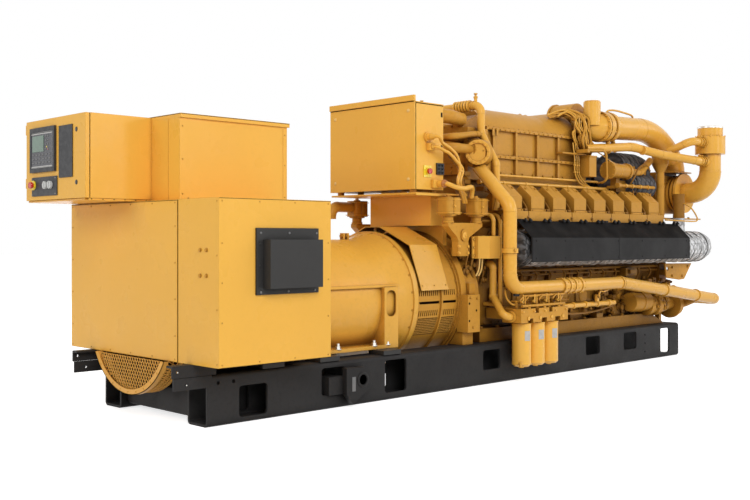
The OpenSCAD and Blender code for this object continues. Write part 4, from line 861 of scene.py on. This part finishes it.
def dress_covers():
    """Rocker cover bolts and ribs, the feet between covers, and the injector lines"""
    caps = Piece("rocker_cover_fittings")
    for x in COVER_X:
        caps.nuts([(x + 10, -566, 1299), (x + 160, -566, 1299)], NEAR, 9)
        caps.bolts([(x + 24, -482, 1467), (x + 146, -482, 1467)], (0, -0.65, 0.76), 16)
        caps.bolts([(x + 85, -394, 1437)], (0, 0.69, 0.72), 16)
        for dx in (52, 112):
            caps.sheet([(x + dx + w, y, z) for w, y, z in ((0, -558, 1392), (0, -455, 1490), (6, -455, 1490),
                                                           (6, -558, 1392))], (0, -3, 3), "cast")
        caps.block((x + 4, -563, 1308), (x + 166, -560, 1313), "cast", 1)
    caps.done(mirrored=True)
    feet = Piece("cover_feet")
    for x in COVER_X:
        gap = x - 58
        feet.block((gap - 12, -552, 1292), (gap + 22, -520, 1310), "clutter_in_shade", 3)
        feet.turned((gap + 6, -548, 1240), NEAR, [(0, 22), (14, 22), (22, 16), (24, 8), (34, 8)], "clutter_in_shade", 18)
        feet.turned((gap + 44, -470, 1316), (0, -0.1, 1), [(0, 17), (36, 17), (40, 12), (78, 12)], "clutter_in_shade", 12)
        feet.line([(gap + 4, -540, 1240), (gap + 26, -544, 1300), (gap + 24, -500, 1370),
                   (gap + 20, -430, 1420), (gap + 10, -350, 1450)], 6, "clutter_in_shade", 5)
    feet.done(mirrored=True)
    lines = Piece("injector_lines")
    for y, z, end, radius, finish in ((-322, 1516, 1830, 15, "pipe"), (-352, 1462, 2300, 11, "clutter_in_shade"),
                                      (-372, 1436, 2300, 8, "clutter_in_shade")):
        lines.tube([(200, y, z), (end, y, z)], radius, finish, 12)
    for x in COVER_X:
        lines.disc((x - 60, -322, 1514), AHEAD, 24, 20, "pipe")
        lines.block((x - 70, -380, 1440), (x - 40, -300, 1478), "clutter_in_shade", 4)
        for dx in (40, 96, 132):
            lines.turned((x + dx, -340, 1430), UP, [(0, 12), (30, 12), (34, 8), (52, 7)], "clutter_in_shade", 10)
    lines.done(mirrored=True)


def dress_plenum():
    """Bolts along the air box's flanges, at its ribs and on its end, its brackets and its sensor line"""
    low, high = box_of("intake_plenum")
    piece = Piece("air_box_bolts")
    for z in (1727, high.z - 16):
        piece.nuts(run((low.x + 40, high.x - 30), -275, z, 62), NEAR, 11)
    for z in (1739, high.z):
        piece.nuts(run((low.x + 36, high.x - 30), -266, z, 64), UP, 11)
    piece.bolts(run((low.x + 70, high.x - 90), -246, 1600, 143), NEAR, 15)
    piece.bolts([(low.x, y, z) for z in (1760, 1840, 1920) for y in (-200, -70)], REAR, 15)
    for x in (low.x + 60, low.x + 110):
        piece.block((x, -284, high.z - 70), (x + 26, -276, high.z - 8), "cast", 2)
    piece.done(mirrored=True)
    line = Piece("sensor_lines")
    for dx, radius in ((0, 6), (34, 5), (62, 5)):
        line.line([(1322 + dx, -306, 1900), (1330 + dx, -318, 1760), (1336 + dx, -318, 1640),
                   (1380 + dx, -330, 1560 + dx * 0.3), (1470 + dx, -330, 1530), (1600 + dx, -330, 1520)],
                  radius, "pipe")
        for z in (1640, 1700, 1800):
            line.disc((1330 + dx, -318, z), UP, 14, radius + 5, "frame")
    line.done(mirrored=True)


def build_cable_bundle():
    """Looped cables that hang over the end of the air box"""
    chance = random.Random(5)
    piece = Piece("cable_bundle")

    def near(*centre_and_reach):
        """A point drawn from each coordinate's (centre, reach); one without a reach is kept"""
        return tuple(c + chance.uniform(-r, r) if r else c for c, r in centre_and_reach)

    for i in range(20):
        x = 1395 + chance.uniform(-60, 60)
        y = -chance.uniform(286, 350)
        path = [near((x - 150, 40), (-150, 0), (2128, 16)), near((x - 70, 20), (-240, 0), (2166, 18)),
                near((x - 16, 34), (y, 0), (2120, 26)), near((x, 56), (y - 14, 0), (2040, 30)),
                near((x + 30, 56), (y - 12, 0), (1950, 34)), near((x + 80, 50), (y - 4, 0), (1880, 26)),
                near((x + 116, 30), (-300, 0), (1800, 20))]
        piece.line(path, 6 + (i % 3) * 3, ("pipe", "frame", "cast")[i % 3])
    for i in range(8):
        centre = (1400 + 22 * i, -300 - 12 * (i % 3), 2110 - 30 * i)
        loop = around(centre, near((0.2, 0.3), (-1, 0), (0.15, 0)), 30 + 9 * (i % 3), 20)
        piece.tube(loop + [loop[0]], 7, ("frame", "cast")[i % 2])
    for x, z in ((1350, 2120), (1412, 2020), (1478, 1920)):
        piece.disc((x - 26, -318, z), (0.8, 0, -0.6), 16, 34)
    piece.line([(1540, -300, 1890), (1600, -352, 1842), (1680, -380, 1800), (1800, -392, 1752), (1960, -392, 1728)], 5,
               "frame")
    piece.line([(1180, -250, 2118), (1240, -262, 2150), (1330, -270, 2168), (1420, -280, 2140)], 9, "frame")
    piece.done(mirrored=True)


def dress_charge_pipe():
    """Clamp flanges and their bolts, the handle tube over the pipe and its brackets"""
    piece = Piece("charge_pipe_fittings")
    start, knee = Vector((1315, -340, 2047)), Vector((2636, -340, 2093))
    axis = (knee - start).normalized()
    corner = start + axis * 265
    for reach, way in ((78, -1), (200, 1)):
        clamp = corner + axis * reach
        piece.turned(clamp, axis, [(-9, 128), (-9, 136), (9, 136), (9, 128)], "pipe", 44)
        piece.nuts(around(clamp + axis * 9 * way, axis, 126, 14, 0.1), axis * way, 15, "pipe")
    side, up = across(axis)
    for angle in (0.4, 1.4, 2.6, 4.2):
        at = corner + axis * 139 + (side * math.cos(angle) + up * math.sin(angle)) * 122
        piece.tube([at - axis * 60, at + axis * 60], 8, "pipe")
    piece.line([(1772, -340, 2168), (1800, -338, 2206), (1860, -336, 2222), (1960, -334, 2226), (2100, -336, 2216),
                (2190, -340, 2204), (2216, -340, 2180), (2218, -340, 2160)], 9, "pipe", sides=10)
    for x, z in ((1772, 2160), (2218, 2152)):
        piece.block((x - 22, -362, z - 14), (x + 22, -318, z + 10), "pipe", 3)
        piece.bolts([(x + 12, -340, z + 10)], UP, 16, "pipe")
    for x in (1790, 1860):
        piece.block((x, -352, 1880), (x + 26, -330, 1946), "pipe", 3)
    for x0, x1, z in ((1710, 1782, 1958), (1880, 1830, 1962)):
        piece.tube([(x0, -372, 1850), (x1, -372, z)], 17, "pipe", 10)
    piece.done()


def dress_turbos():
    """Blankets round the chargers and bellows, their clamps, bolts, oil lines and the posts under them"""
    piece = Piece("turbo_blankets")
    chance = random.Random(9)
    for x0, x1, y, z, radius in ((2040, 2480, -200, 1690, 168), (2150, 2470, -330, 1560, 112)):
        waves = [(chance.uniform(0, 6.28), chance.uniform(0.012, 0.03)) for _ in range(4)]
        rings = []
        for x in range(x0, x1, 14):
            pinch = 4 * math.exp(-(((x - x0) % 110 - 55) / 9.0) ** 2)
            ring = []
            for j in range(48):
                a = 2 * math.pi * j / 48
                lump = sum(math.sin((k + 2) * a + x * speed + shift) for k, (shift, speed) in enumerate(waves))
                r = radius + 1.7 * lump - pinch
                ring.append((x, y + r * math.cos(a), z + r * math.sin(a)))
            rings.append(ring)
        piece.loft(rings, "blanket")
    piece.done(angle=70, mirrored=True)
    fittings = Piece("turbo_fittings")
    for x, radius in ((1712, 70), (1990, 64)):
        fittings.nuts(around((x, -400, 1678), REAR, radius, 10), REAR, 12, "pipe")
    fittings.disc((1846, -400, 1678), AHEAD, 10, 66.5, "pipe", 28)
    fittings.line([(2040, -420, 1560), (2070, -452, 1640), (2150, -448, 1720), (2290, -430, 1750), (2380, -420, 1700)],
                  8, "clutter_in_shade")
    for x in (1800, 1900, 2010, 2140, 2270):
        fittings.disc((x, -455, 1545), AHEAD, 16, 20, "pipe")
    for i in range(7):
        x, z = 2090 + i * 48, 1470 + (i % 3) * 14
        fittings.block((x, -420, z), (x + 26, -300, z + 50), "clutter_in_shade", 4)
    fittings.done(mirrored=True)


def dress_shield():
    """Brackets and bolts along the shield's top edge, its seam and its end folds"""
    low, high = box_of("heat_shields")
    piece = Piece("shield_fittings")
    for x in (low.x + 8, low.x + 1180, high.x - 12):
        piece.block((x, -762, low.z + 2), (x + 4, -760, low.z + 178), "shield", 0.8)
    for i in range(10):
        for dx in (60, 120):
            x = low.x + dx + i * 244
            piece.block((x, -658, 1205), (x + 26, -632, 1222), "shield", 2)
            piece.bolts([(x + 13, -644, 1222)], UP, 17, "shield")
    for p in run((low.x + 60, high.x - 60), -760, low.z + 24, 390):
        piece.screws([p, p + Vector((0, 0, 132))], NEAR, 7, "shield")
    piece.block((low.x, -760, low.z - 4), (high.x, -756, low.z + 4), "shield", 1.4)
    piece.done(mirrored=True)


def build_wrapping():
    """Silver blanket round the exhaust manifold: folds, seams and lacing, and the wrapped risers"""
    chance = random.Random(3)
    low, high = box_of("exhaust_manifolds")
    y, z, radius, bend, section_length, sides, rear = 590.0, 1004.0, 146.0, 260.0, 186.0, 56, 9
    x0, x1 = low.x, high.x - radius
    route = bent([(x0, -y, z), (x1, -y, z), (x1, y, z), (x0, y, z)], bend, 14)
    path = []
    for a, b in zip(route, route[1:]):
        path += spaced(a, b, 15)[:-1]
    path.append(route[-1])
    side, travelled, rings = Vector(UP), 0.0, []
    shifts = [chance.uniform(0, 6.28) for _ in range(60)]
    for i, point in enumerate(path):
        along = direction(path, i)
        side = (side - along * side.dot(along)).normalized()
        up = along.cross(side)
        travelled += (path[i] - path[i - 1]).length if i else 0
        section = travelled / section_length
        pinch = abs(section - round(section)) * section_length
        seam = 8.0 * math.exp(-(pinch / 9.0) ** 2)
        loose = 1 - math.exp(-(pinch / 26.0) ** 2)
        shift = shifts[int(section):]
        ring = []
        for j in range(sides):
            a = 2 * math.pi * j / sides
            fold = math.sin(3 * a + travelled * 0.045 + shift[0])
            fold += 0.8 * math.sin(5 * a - travelled * 0.071 + shift[7])
            fold += 0.7 * math.sin(9 * a + travelled * 0.11 + shift[3])
            fold += 0.5 * math.sin(14 * a - travelled * 0.19)
            ring.append(point + (side * math.cos(a) + up * math.sin(a))
                        * (radius - max(0.5, 7.5 - 3.4 * fold * loose) - seam))
        rings.append(ring)
    piece = Piece("manifold_wrap")
    # the first and last rings take the dark copy of the wrap: painted shade at its ends
    piece.loft(rings[:rear], "shaded_wrap_and_dark_ties")
    piece.loft(rings[rear - 1:-rear + 1], "wrap")
    piece.loft(rings[-rear:], "shaded_wrap_and_dark_ties")
    for s in (-1, 1):
        for i in range(13):
            piece.disc((x0 + 93 + i * section_length, s * y, z), AHEAD, 7, radius - 6, "wrap", 40)
        riser = (2700, s * 532, z + 60)
        piece.turned(riser, UP, [(k * 20.5, 54 + 2.4 * math.sin(k * 1.9) + 1.6 * math.sin(k * 3.7))
                                 for k in range(11)], "wrap", 30)
        piece.turned(riser, UP, [(k * 20.5, 53 + 1.5 * math.sin(k * 1.9)) for k in range(10, 22)], "clutter_in_shade", 30)
    piece.done(replaces=("exhaust_manifolds",), angle=70)
    ties = Piece("wrap_lacing")
    reach = radius - 3

    def on_wrap(x, angle):
        return (x, -y + reach * math.sin(angle), z + reach * math.cos(angle))

    for i in range(26):
        ties.tube([on_wrap(x0 + 40 + i * 94 + k * 5.5, math.radians(-150 + k * 12)) for k in range(15)], 2.6,
                  "shaded_wrap_and_dark_ties", 5)
    for x in (2640, 2760, 2880):
        ties.disc((x, -y, z), AHEAD, 4, reach, "key", 44)
    for angle in range(0, 360, 40):
        ties.tube([on_wrap(2570 + k * 60, math.radians(angle) + k * 0.02) for k in range(6)], 1.6, "key", 5)
    ties.done(mirrored=True)


def dress_coolant_line():
    """Joint rings, coupling bolts, the hook cable and the stay of each coolant line"""
    piece = Piece("coolant_line_fittings")
    x0, y, z = -38.0, -700.0, 708.0
    for dx in (620, 654, 690, 724, 760, 794, 850, 884):
        for p in around((x0 + dx, y, z), AHEAD, 61, 8, 0.3):
            piece.nuts([p], p - Vector((x0 + dx, y, z)), 10, "pipe")
    piece.turned((x0, y, 985), UP, [(0, 53), (5, 56), (13, 56), (18, 53)], "pipe", 36)
    piece.disc((x0, y, 955), UP, 8, 52, "frame", 36)
    piece.bolts([(x0 - 20, -764, 990)], NEAR, 16, "frame")
    piece.turned((1420, y, z), AHEAD, [(0, 51), (4, 53), (8, 51)], "shadow", 36)
    piece.line([(1158, -690, 655), (1140, -688, 622), (1150, -684, 600), (1180, -660, 600)], 8, "pipe", 5)
    piece.line([(1148, -690, 652), (1200, -700, 645), (1290, -692, 664)], 7, "pipe")
    piece.block((1146, -668, 560), (1178, -640, 622), "pipe", 4)
    for x in (700, 860, 1030, 1200, 1370):
        piece.turned((x, -620, 540), AHEAD, [(0, 25), (5, 28), (24, 28), (29, 25)], "pipe")
        piece.block((x + 4, -620, 530), (x + 20, -396, 550), "clutter_in_shade", 3)
    piece.line([(600, -600, 560), (650, -620, 590), (720, -616, 600), (820, -600, 590), (900, -560, 600)], 8, "cast")
    piece.line([(620, -560, 500), (900, -560, 470), (1250, -540, 466), (1600, -520, 500)], 9, "clutter_in_shade")
    piece.done(mirrored=True)


def dress_outlet():
    """Silver rim, band bolts and hose clamps of the stack, and the thin cable beside it"""
    high = box_of("coolant_outlet")[1]
    x, y, band_z, neck_z = 2980.0, -700.0, 2036, 1515
    piece = Piece("outlet_fittings")
    piece.turned((x, y, high.z - 3), UP, [(-13, 117), (1, 117), (2.5, 113), (2.5, 99), (-6, 98)], "steel", 48)
    for p in around((x, y, band_z), UP, 137, 10, 0.2):
        out = (p - Vector((x, y, band_z))).normalized()
        piece.turned(p - out * 2, out, [(0, 10), (5, 9), (8, 4)], "pipe", 12)
    piece.bolts(around((x, -418, neck_z), NEAR, 172, 18, 0.1), NEAR, 20, "pipe")
    piece.bolts(around((x, -330, neck_z), (0, 1, 0), 130, 12, 0.1), (0, 1, 0), 18, "pipe")
    for z, x1 in ((1799, 2851), (1975, 2830)):
        for dx in (16, 60):
            piece.disc((x1 - dx - 20, y, z), AHEAD, 12, 46, "frame", 32)
            piece.block((x1 - dx - 22, y - 12, z + 44), (x1 - dx - 4, y + 12, z + 58), "frame", 2)
        piece.disc((x1 - 6, y, z), AHEAD, 10, 50, "pipe", 32)
    for z in (1905, 1700):
        piece.turned((x, y, z), UP, [(0, 99.5), (5, 101), (10, 99.5)], "pipe", 40)
    piece.line([(2700, -560, 1420), (2712, -640, 1372), (2790, -650, 1310), (2836, -646, 1262), (2800, -640, 1240),
                (2560, -626, 1242), (2320, -610, 1246)], 7, "frame", 8)
    for at, axis in (((2120, -497, 1872), (0.85, -0.2, -0.1)), ((1740, -378, 1868), (0.98, -0.17, 0.07)),
                     ((2430, -575, 1838), (0.9, -0.3, -0.1))):
        piece.disc(at, axis, 14, 42, "pipe", 28)
    piece.done()


def dress_filters():
    """Rolled seams, hexagon ends and blank plates of the filters; cock handles and bolts of their head"""
    piece = Piece("filter_fittings")
    y = -690.0
    for x in (110.0, 280.0, 450.0):
        piece.turned((x, y, 436), UP, [(0, 71), (3, 74.5), (9, 74.5), (12, 71)], "filter", 48)
        piece.turned((x, y, 140), UP, [(0, 71), (3, 72.4), (6, 71)], "filter", 48)
        piece.turned((x, y, 122), UP, [(-8, 20), (4, 24)], "filter", 6)
        rows = []
        for k in range(9):
            a = math.radians(-122 + k * 5.2)
            out = Vector((math.cos(a), math.sin(a), 0))
            rows.append([Vector((x, y, z)) + out * r for z, r in ((320, 71), (320, 71.9), (392, 71.9), (392, 71))])
        piece.loft(rows, "label")
    piece.turned((30, -742, 130), UP, [(0, 9), (20, 9), (24, 14), (34, 14)], "frame", 12)
    piece.done()
    head = Piece("filter_head_fittings")
    x0, top, front = -5.0, 558.0, -775
    for x in (x0 + 60, x0 + 200, x0 + 350, x0 + 500):
        head.turned((x, -742, top + 50), NEAR, [(-10, 14), (6, 14), (10, 9)], "pipe", 16)
        head.block((x - 6, -752, top + 44), (x + 6, -744, top + 104), "pipe", 2)
        head.nuts([(x, -690, top + 44)], UP, 24, "pipe")
    head.bolts(run((x0 + 24, x0 + 560), front, top - 22, 134), NEAR, 17, "pipe")
    for p in run((x0 + 90, x0 + 520), front, 486, 143):
        head.turned(p, NEAR, [(-2, 15), (5, 15), (6, 8)], "pipe", 16)
    head.line([(x0 + 575, -700, 600), (x0 + 610, -700, 640), (x0 + 600, -690, 700), (x0 + 560, -660, 720)],
              11, "pipe", 5)
    head.line([(x0 - 20, -730, 590), (x0 - 60, -730, 600), (x0 - 74, -700, 640), (x0 - 40, -660, 690),
               (x0 + 30, -620, 700)], 7, "cast", 5)
    for x in (x0 + 20, x0 + 90, x0 + 250, x0 + 420):
        head.line([(x, -748, top + 60), (x + 18, -756, top + 82), (x + 46, -748, top + 92), (x + 70, -742, top + 84)],
                  6, "cast", 5)
    head.turned((x0 + 40, -700, top + 92), UP, [(0, 22), (10, 26), (18, 22), (22, 8)], "duct", 18)
    head.done()


def dress_breathers():
    """Clamp bands and bolts of the breather cups, and the control module's fixings and leads"""
    piece = Piece("breather_fittings")
    for x in (-475, -164):
        outline = [(x - 64, -540), (x + 70, -549), (x + 72, -422), (x - 66, -420)]
        for z in (1262, 1358):
            for a, b in zip(outline, outline[1:] + outline[:1]):
                piece.tube([(*a, z), (*b, z)], 3.2, "pipe", 6)
        piece.disc((x, -480, 1236), UP, 10, 45, "pipe", 28)
        piece.bolts([(x + 2, -540, 1310)], NEAR, 18, "pipe")
        piece.turned((x, -480, 1372), UP, [(0, 26), (8, 26), (10, 14), (20, 14)], "pipe", 18)
    piece.turned((-346, -527, 1100), NEAR, [(-1, 25), (4, 25), (8, 18), (8, 8), (14, 7)], "pipe", 22)
    piece.bolts([(x, -514, z) for z in (1020, 972) for x in (-396, -300)], NEAR, 20, "pipe")
    piece.done(mirrored=True)
    module = Piece("control_module_fittings")
    module.nuts([(x, -560, z) for x in (22, 134) for z in (942, 1082)], NEAR, 11, "frame")
    module.turned((90, -560, 1010), NEAR, [(-1, 9), (3, 9), (4, 5)], "key", 14)
    module.block((-190, -470, 930), (-164, -462, 1092), "sheet", 2)
    module.bolts([(-177, -470, z) for z in (950, 1010, 1070)], NEAR, 15, "frame")
    for x in (-158, -128):
        module.line([(x + 12, -500, 940), (x, -508, 890), (x - 10, -506, 840), (x - 26, -496, 800)], 6, "lead")
    module.done()


def dress_rear_of_engine():
    """Bolts of the round covers, rings of the vent bellows, small lines and the leads beside them"""
    piece = Piece("regulator_fittings")
    piece.bolts(around((-68, -386, 1723), REAR, 87, 10, 0.15), REAR, 18)
    piece.turned((-62, -386, 1723), REAR, [(-2, 62), (2, 58), (3, 20), (3, 1)], "cast", 36)
    cover, facing = Vector((-104, -446, 1723)), Vector((-0.8, -0.6, 0))
    piece.turned(cover, facing, [(-70, 72), (-14, 78), (-12, 92), (8, 94), (11, 90), (11, 70), (-4, 66), (-4, 1)],
                 "pipe", 48)
    piece.nuts(around(cover + facing * 11, facing, 80, 14, 0.1), facing, 12, "pipe")
    piece.bolts([(-68, y, z) for y in (-60, -150, -240) for z in (1590, 1630)], REAR, 15)
    piece.bolts([(-50, y, z) for y in (-60, -140, -210) for z in (1946, 1850)], REAR, 15)
    for k, finish in enumerate(("cast", "frame", "clutter_in_shade")):
        y = -300 + k * 26
        piece.line([(-64, y, 1790), (-140 - k * 20, y, 1770), (-196 - k * 26, y - 40, 1700),
                    (-230 - k * 18, -360 - k * 20, 1600), (-250, -400 - k * 16, 1470), (-230 + k * 12, -430, 1390)],
                   9 + 3 * (k == 1), finish)
    for z in (1560, 1500, 1440):
        piece.block((-196, -400, z - 16), (-130, -330, z + 20), "clutter_in_shade", 4)
    piece.line([(20, -500, 1300), (10, -530, 1400), (44, -500, 1480), (90, -440, 1500)], 7, "cast")
    piece.line([(70, -520, 1290), (96, -540, 1380), (130, -480, 1450)], 7, "cast")
    for i in range(6):
        piece.turned((62, -233 + i * 28, 2105), (0, 1, 0), [(0, 42.5), (5, 46), (9, 46), (14, 42.5)], "pipe", 30)
    piece.disc((62, -262, 2105), NEAR, 14, 36, "frame", 28)
    piece.turned((62, -340, 1860), UP, [(0, 33), (6, 37), (16, 37), (22, 33)], "pipe", 28)
    piece.turned((62, -285, 2166), UP, [(-6, 17), (8, 17), (10, 9), (22, 9), (24, 15), (32, 15)], "frame", 18)
    piece.done(mirrored=True)


def dress_block():
    """Bolts of the side doors, their domed middles, plugs, and bolts along the bearer"""
    piece = Piece("block_side_fittings")
    for x in COVER_X:
        piece.bolts([(x + dx, -392, z) for dx in (-10, 85, 180) for z in (496, 684)], NEAR, 15)
        piece.turned((x + 85, -392, 590), NEAR, [(-1, 58), (5, 56), (9, 30), (9, 1)], "cast", 30)
        piece.bolts([(x + 190, -390, 480)], NEAR, 24)
        piece.block((x + 176, -398, 690), (x + 214, -380, 735), "cast", 5)
    piece.bolts(run((-60, 2260), -440, 400, 186), UP, 26, "clutter_in_shade")
    piece.nuts(run((40, 2300), -382, 434, 96), NEAR, 14, "clutter_in_shade")
    for x in (680, 1300, 1880):
        piece.turned((x, -384, 470), NEAR, [(0, 34), (26, 34), (32, 26), (60, 24), (64, 14)], "clutter_in_shade")
    piece.done(mirrored=True)
    y = -452
    lines = [([(150, y, z), (1200, y, z + 2), (2440, y, z + 4)], r) for z, r in ((826, 12), (790, 8), (862, 7))]
    for x in range(200, 2480, 190):
        lines.append(([(x, y, 826), (x + 20, -466, 780), (x + 8, -440, 720), (x, -396, 690)], 7))
    crowd("block_side_works", 23, 56, (160, 2440), (756, 880), (404, 444), (10, 24), lines)
    crowd("pump_side_works", 31, 34, (1500, 2740), (560, 700), (400, 470), (12, 30))
    crowd("oil_cooler_works", 37, 26, (1500, 2300), (430, 560), (396, 440), (12, 28))


def dress_front():
    """Bolts of the gear case, brackets and pumps, castings of pump and oil cooler, and the lines to them"""
    x, y, z = BLOCK_FRONT, -470, 475
    piece = Piece("front_fittings")
    piece.bolts(spaced((x + 120, -420, 720), (x + 120, -300, 1360), 110), AHEAD, 18)
    piece.bolts([(x + 20, -560, 812), (x + 20, -560, 736), (x + 300, -560, 816), (x + 200, -560, 730)], NEAR, 20)
    piece.bolts(around((x + 148, y, 461), AHEAD, 112, 12, 0.1), AHEAD, 13)
    piece.bolts([(x + dx, -330, top) for dx in (150, 320, 490) for top in (1500, 1620)], NEAR, 22)
    piece.line([(x - 640, y, 640), (x - 500, -520, 610), (x - 360, -540, 640), (x - 240, -520, 600),
                (x - 170, -490, 560)], 13, "clutter_in_shade", sides=10)
    piece.turned((x - 322, y, z), AHEAD, [(0, 60), (6, 92), (52, 96), (60, 84), (118, 82), (124, 98), (190, 98),
                                          (214, 70), (262, 66)], "cast", 36)
    piece.turned((x - 594, -484, 516), AHEAD, [(0, 40), (4, 80), (30, 88), (140, 88), (144, 96), (164, 96),
                                               (168, 88), (270, 88), (276, 60)], "cast", 36)
    piece.nuts(around((x - 430, -484, 516), AHEAD, 90, 10), AHEAD, 9)
    for dx, dy, dz, size in ((-300, -78, 40, 34), (-246, -92, -10, 26), (-190, -66, 62, 38), (-150, -90, 20, 30),
                             (-118, -84, -30, 28), (-60, -62, 52, 34)):
        boss = Vector((x + dx, y + dy, z + dz))
        piece.block(boss - Vector((0, 0.5, 0.6)) * size, boss + Vector((size * 1.4, 60, size * 0.6)), "cast", 6)
        piece.bolts([boss + Vector((0.7, -0.5, 0)) * size], NEAR, 15)
    piece.line([(x - 80, -520, 600), (x + 40, -560, 640), (x + 150, -540, 600), (x + 210, -500, 540)], 10, "cast")
    for dx, height, r in ((-420, 660, 40), (-300, 668, 30), (-120, 640, 36), (60, 650, 26)):
        piece.turned((x + dx, -440, height), NEAR, [(0, r), (44, r), (52, r * 0.7), (70, r * 0.66), (74, r * 0.3)],
                     "cast", 18)
        piece.nuts(around((x + dx, -484, height), NEAR, r * 0.82, 5), NEAR, 8)
    for height in (1300, 1560):
        piece.disc((2540, -430, height), UP, 12, 42, "cast", 24)
    piece.bolts([(2520 + dx, -400, 1273) for dx in (0, 120, 400, 600)], UP, 22)
    piece.done(mirrored=True)
    middle = Piece("damper_fittings")
    middle.bolts([p for p in around((x + 120, 0, SHAFT_Z), AHEAD, 330, 16) if p.z > 430], AHEAD, 18)
    middle.bolts(around((x + 300, 0, SHAFT_Z), AHEAD, 80, 8), AHEAD, 22, "steel")
    middle.done()


# ---------------------------------------------------------------- skid and buttons

RAIL_X = -2620              # rear end of the rails
RAIL_FACE = -572


def dress_skid():
    """Bolts of the end brackets and pads, a dark plate behind each rail's first window that paints the shade there,
    and rings and blank tags on the lifting plates
    """
    piece = Piece("skid_bolts")
    piece.bolts([(RAIL_X + place + dx, -520, 300) for place in (398, 850, 1407) for dx in (34, 131)], UP, 24, "rail")
    piece.nuts([(-2820, RAIL_FACE, 334), (-2762, RAIL_FACE, 258)], NEAR, 8, "steel")
    # near-black discs set back in the rail's face: painted shade in its holes
    for x in (RAIL_X + 74, RAIL_X + 181):
        piece.turned((x, RAIL_FACE, 250), NEAR, [(-15, 10.8), (-6, 10.8)], "shaded_black", 16)
    piece.turned((-1468, -637, 172), NEAR, [(-3, 50), (3, 50), (5, 47), (5, 33.5), (-3, 33.5)], "rail", 44)
    # a dark plate behind the rail's first window, standing in for the shade inside the skid: painted shade
    piece.block((-2460, -356, 30), (-2130, -350, 262), "rail", 1)
    piece.block((-1562, -638.5, 104), (-1532, -637, 196), "key", 0.6)
    piece.done(mirrored=True)


def dress_buttons():
    """Heads of the two stop buttons: a dished grip edge over each red cap"""
    for name, body, centre, axis in (("door_button_grip", "door_stop", (-3079.5, 690, 1408), REAR),
                                     ("box_button_grip", "box_stop", (-657, -477.5, 1555), NEAR)):
        piece = Piece(name, body)
        piece.turned(centre, axis, [(-8, 20.4), (-1.5, 20.4), (0.5, 19), (0.5, 14), (-0.3, 10), (-0.3, 1)],
                     "red_plastic", 40)
        piece.done()


dress_nodes()
repaint("turbochargers", "cast",
        lambda p, n: p.x < 1934 or abs(p.y) > 440 or abs(p.y) > 366 and (p.x < 2034 or p.z > 1640))
# the shield's upward faces take its darker copy: painted shade
repaint("heat_shields", "shaded_black", lambda p, n: n.z > 0.3)
repaint("generator_enclosure", "shadow", lambda p, n: p.z < PANEL_FOOT - 2)
repaint("junction_box", "black_plastic", lambda p, n: p.y < -446 and -566 < p.x < -490 and 1535 < p.z < 1622)
repaint("junction_box", "yellow_plastic", lambda p, n: p.y < -444.5 and -700 < p.x < -615 and 1510 < p.z < 1600)
repaint("control_door", "yellow_plastic", lambda p, n: p.x < -3046.5)
repaint("control_cabinet", "shadow", lambda p, n: -3010 < p.x < -2615 and 48 < p.y < 796 and 1320 < p.z < 1806)
for dress in (dress_enclosure, dress_terminal_box, dress_cabinet, dress_door, build_fan_screen, dress_generator,
              dress_coupling, dress_housing, dress_housing_sides, dress_junction_box, dress_covers, dress_plenum,
              build_cable_bundle, dress_charge_pipe, dress_turbos, dress_shield, build_wrapping, dress_coolant_line,
              dress_outlet, dress_filters, dress_breathers, dress_rear_of_engine, dress_block, dress_front,
              dress_skid, dress_buttons):
    dress()
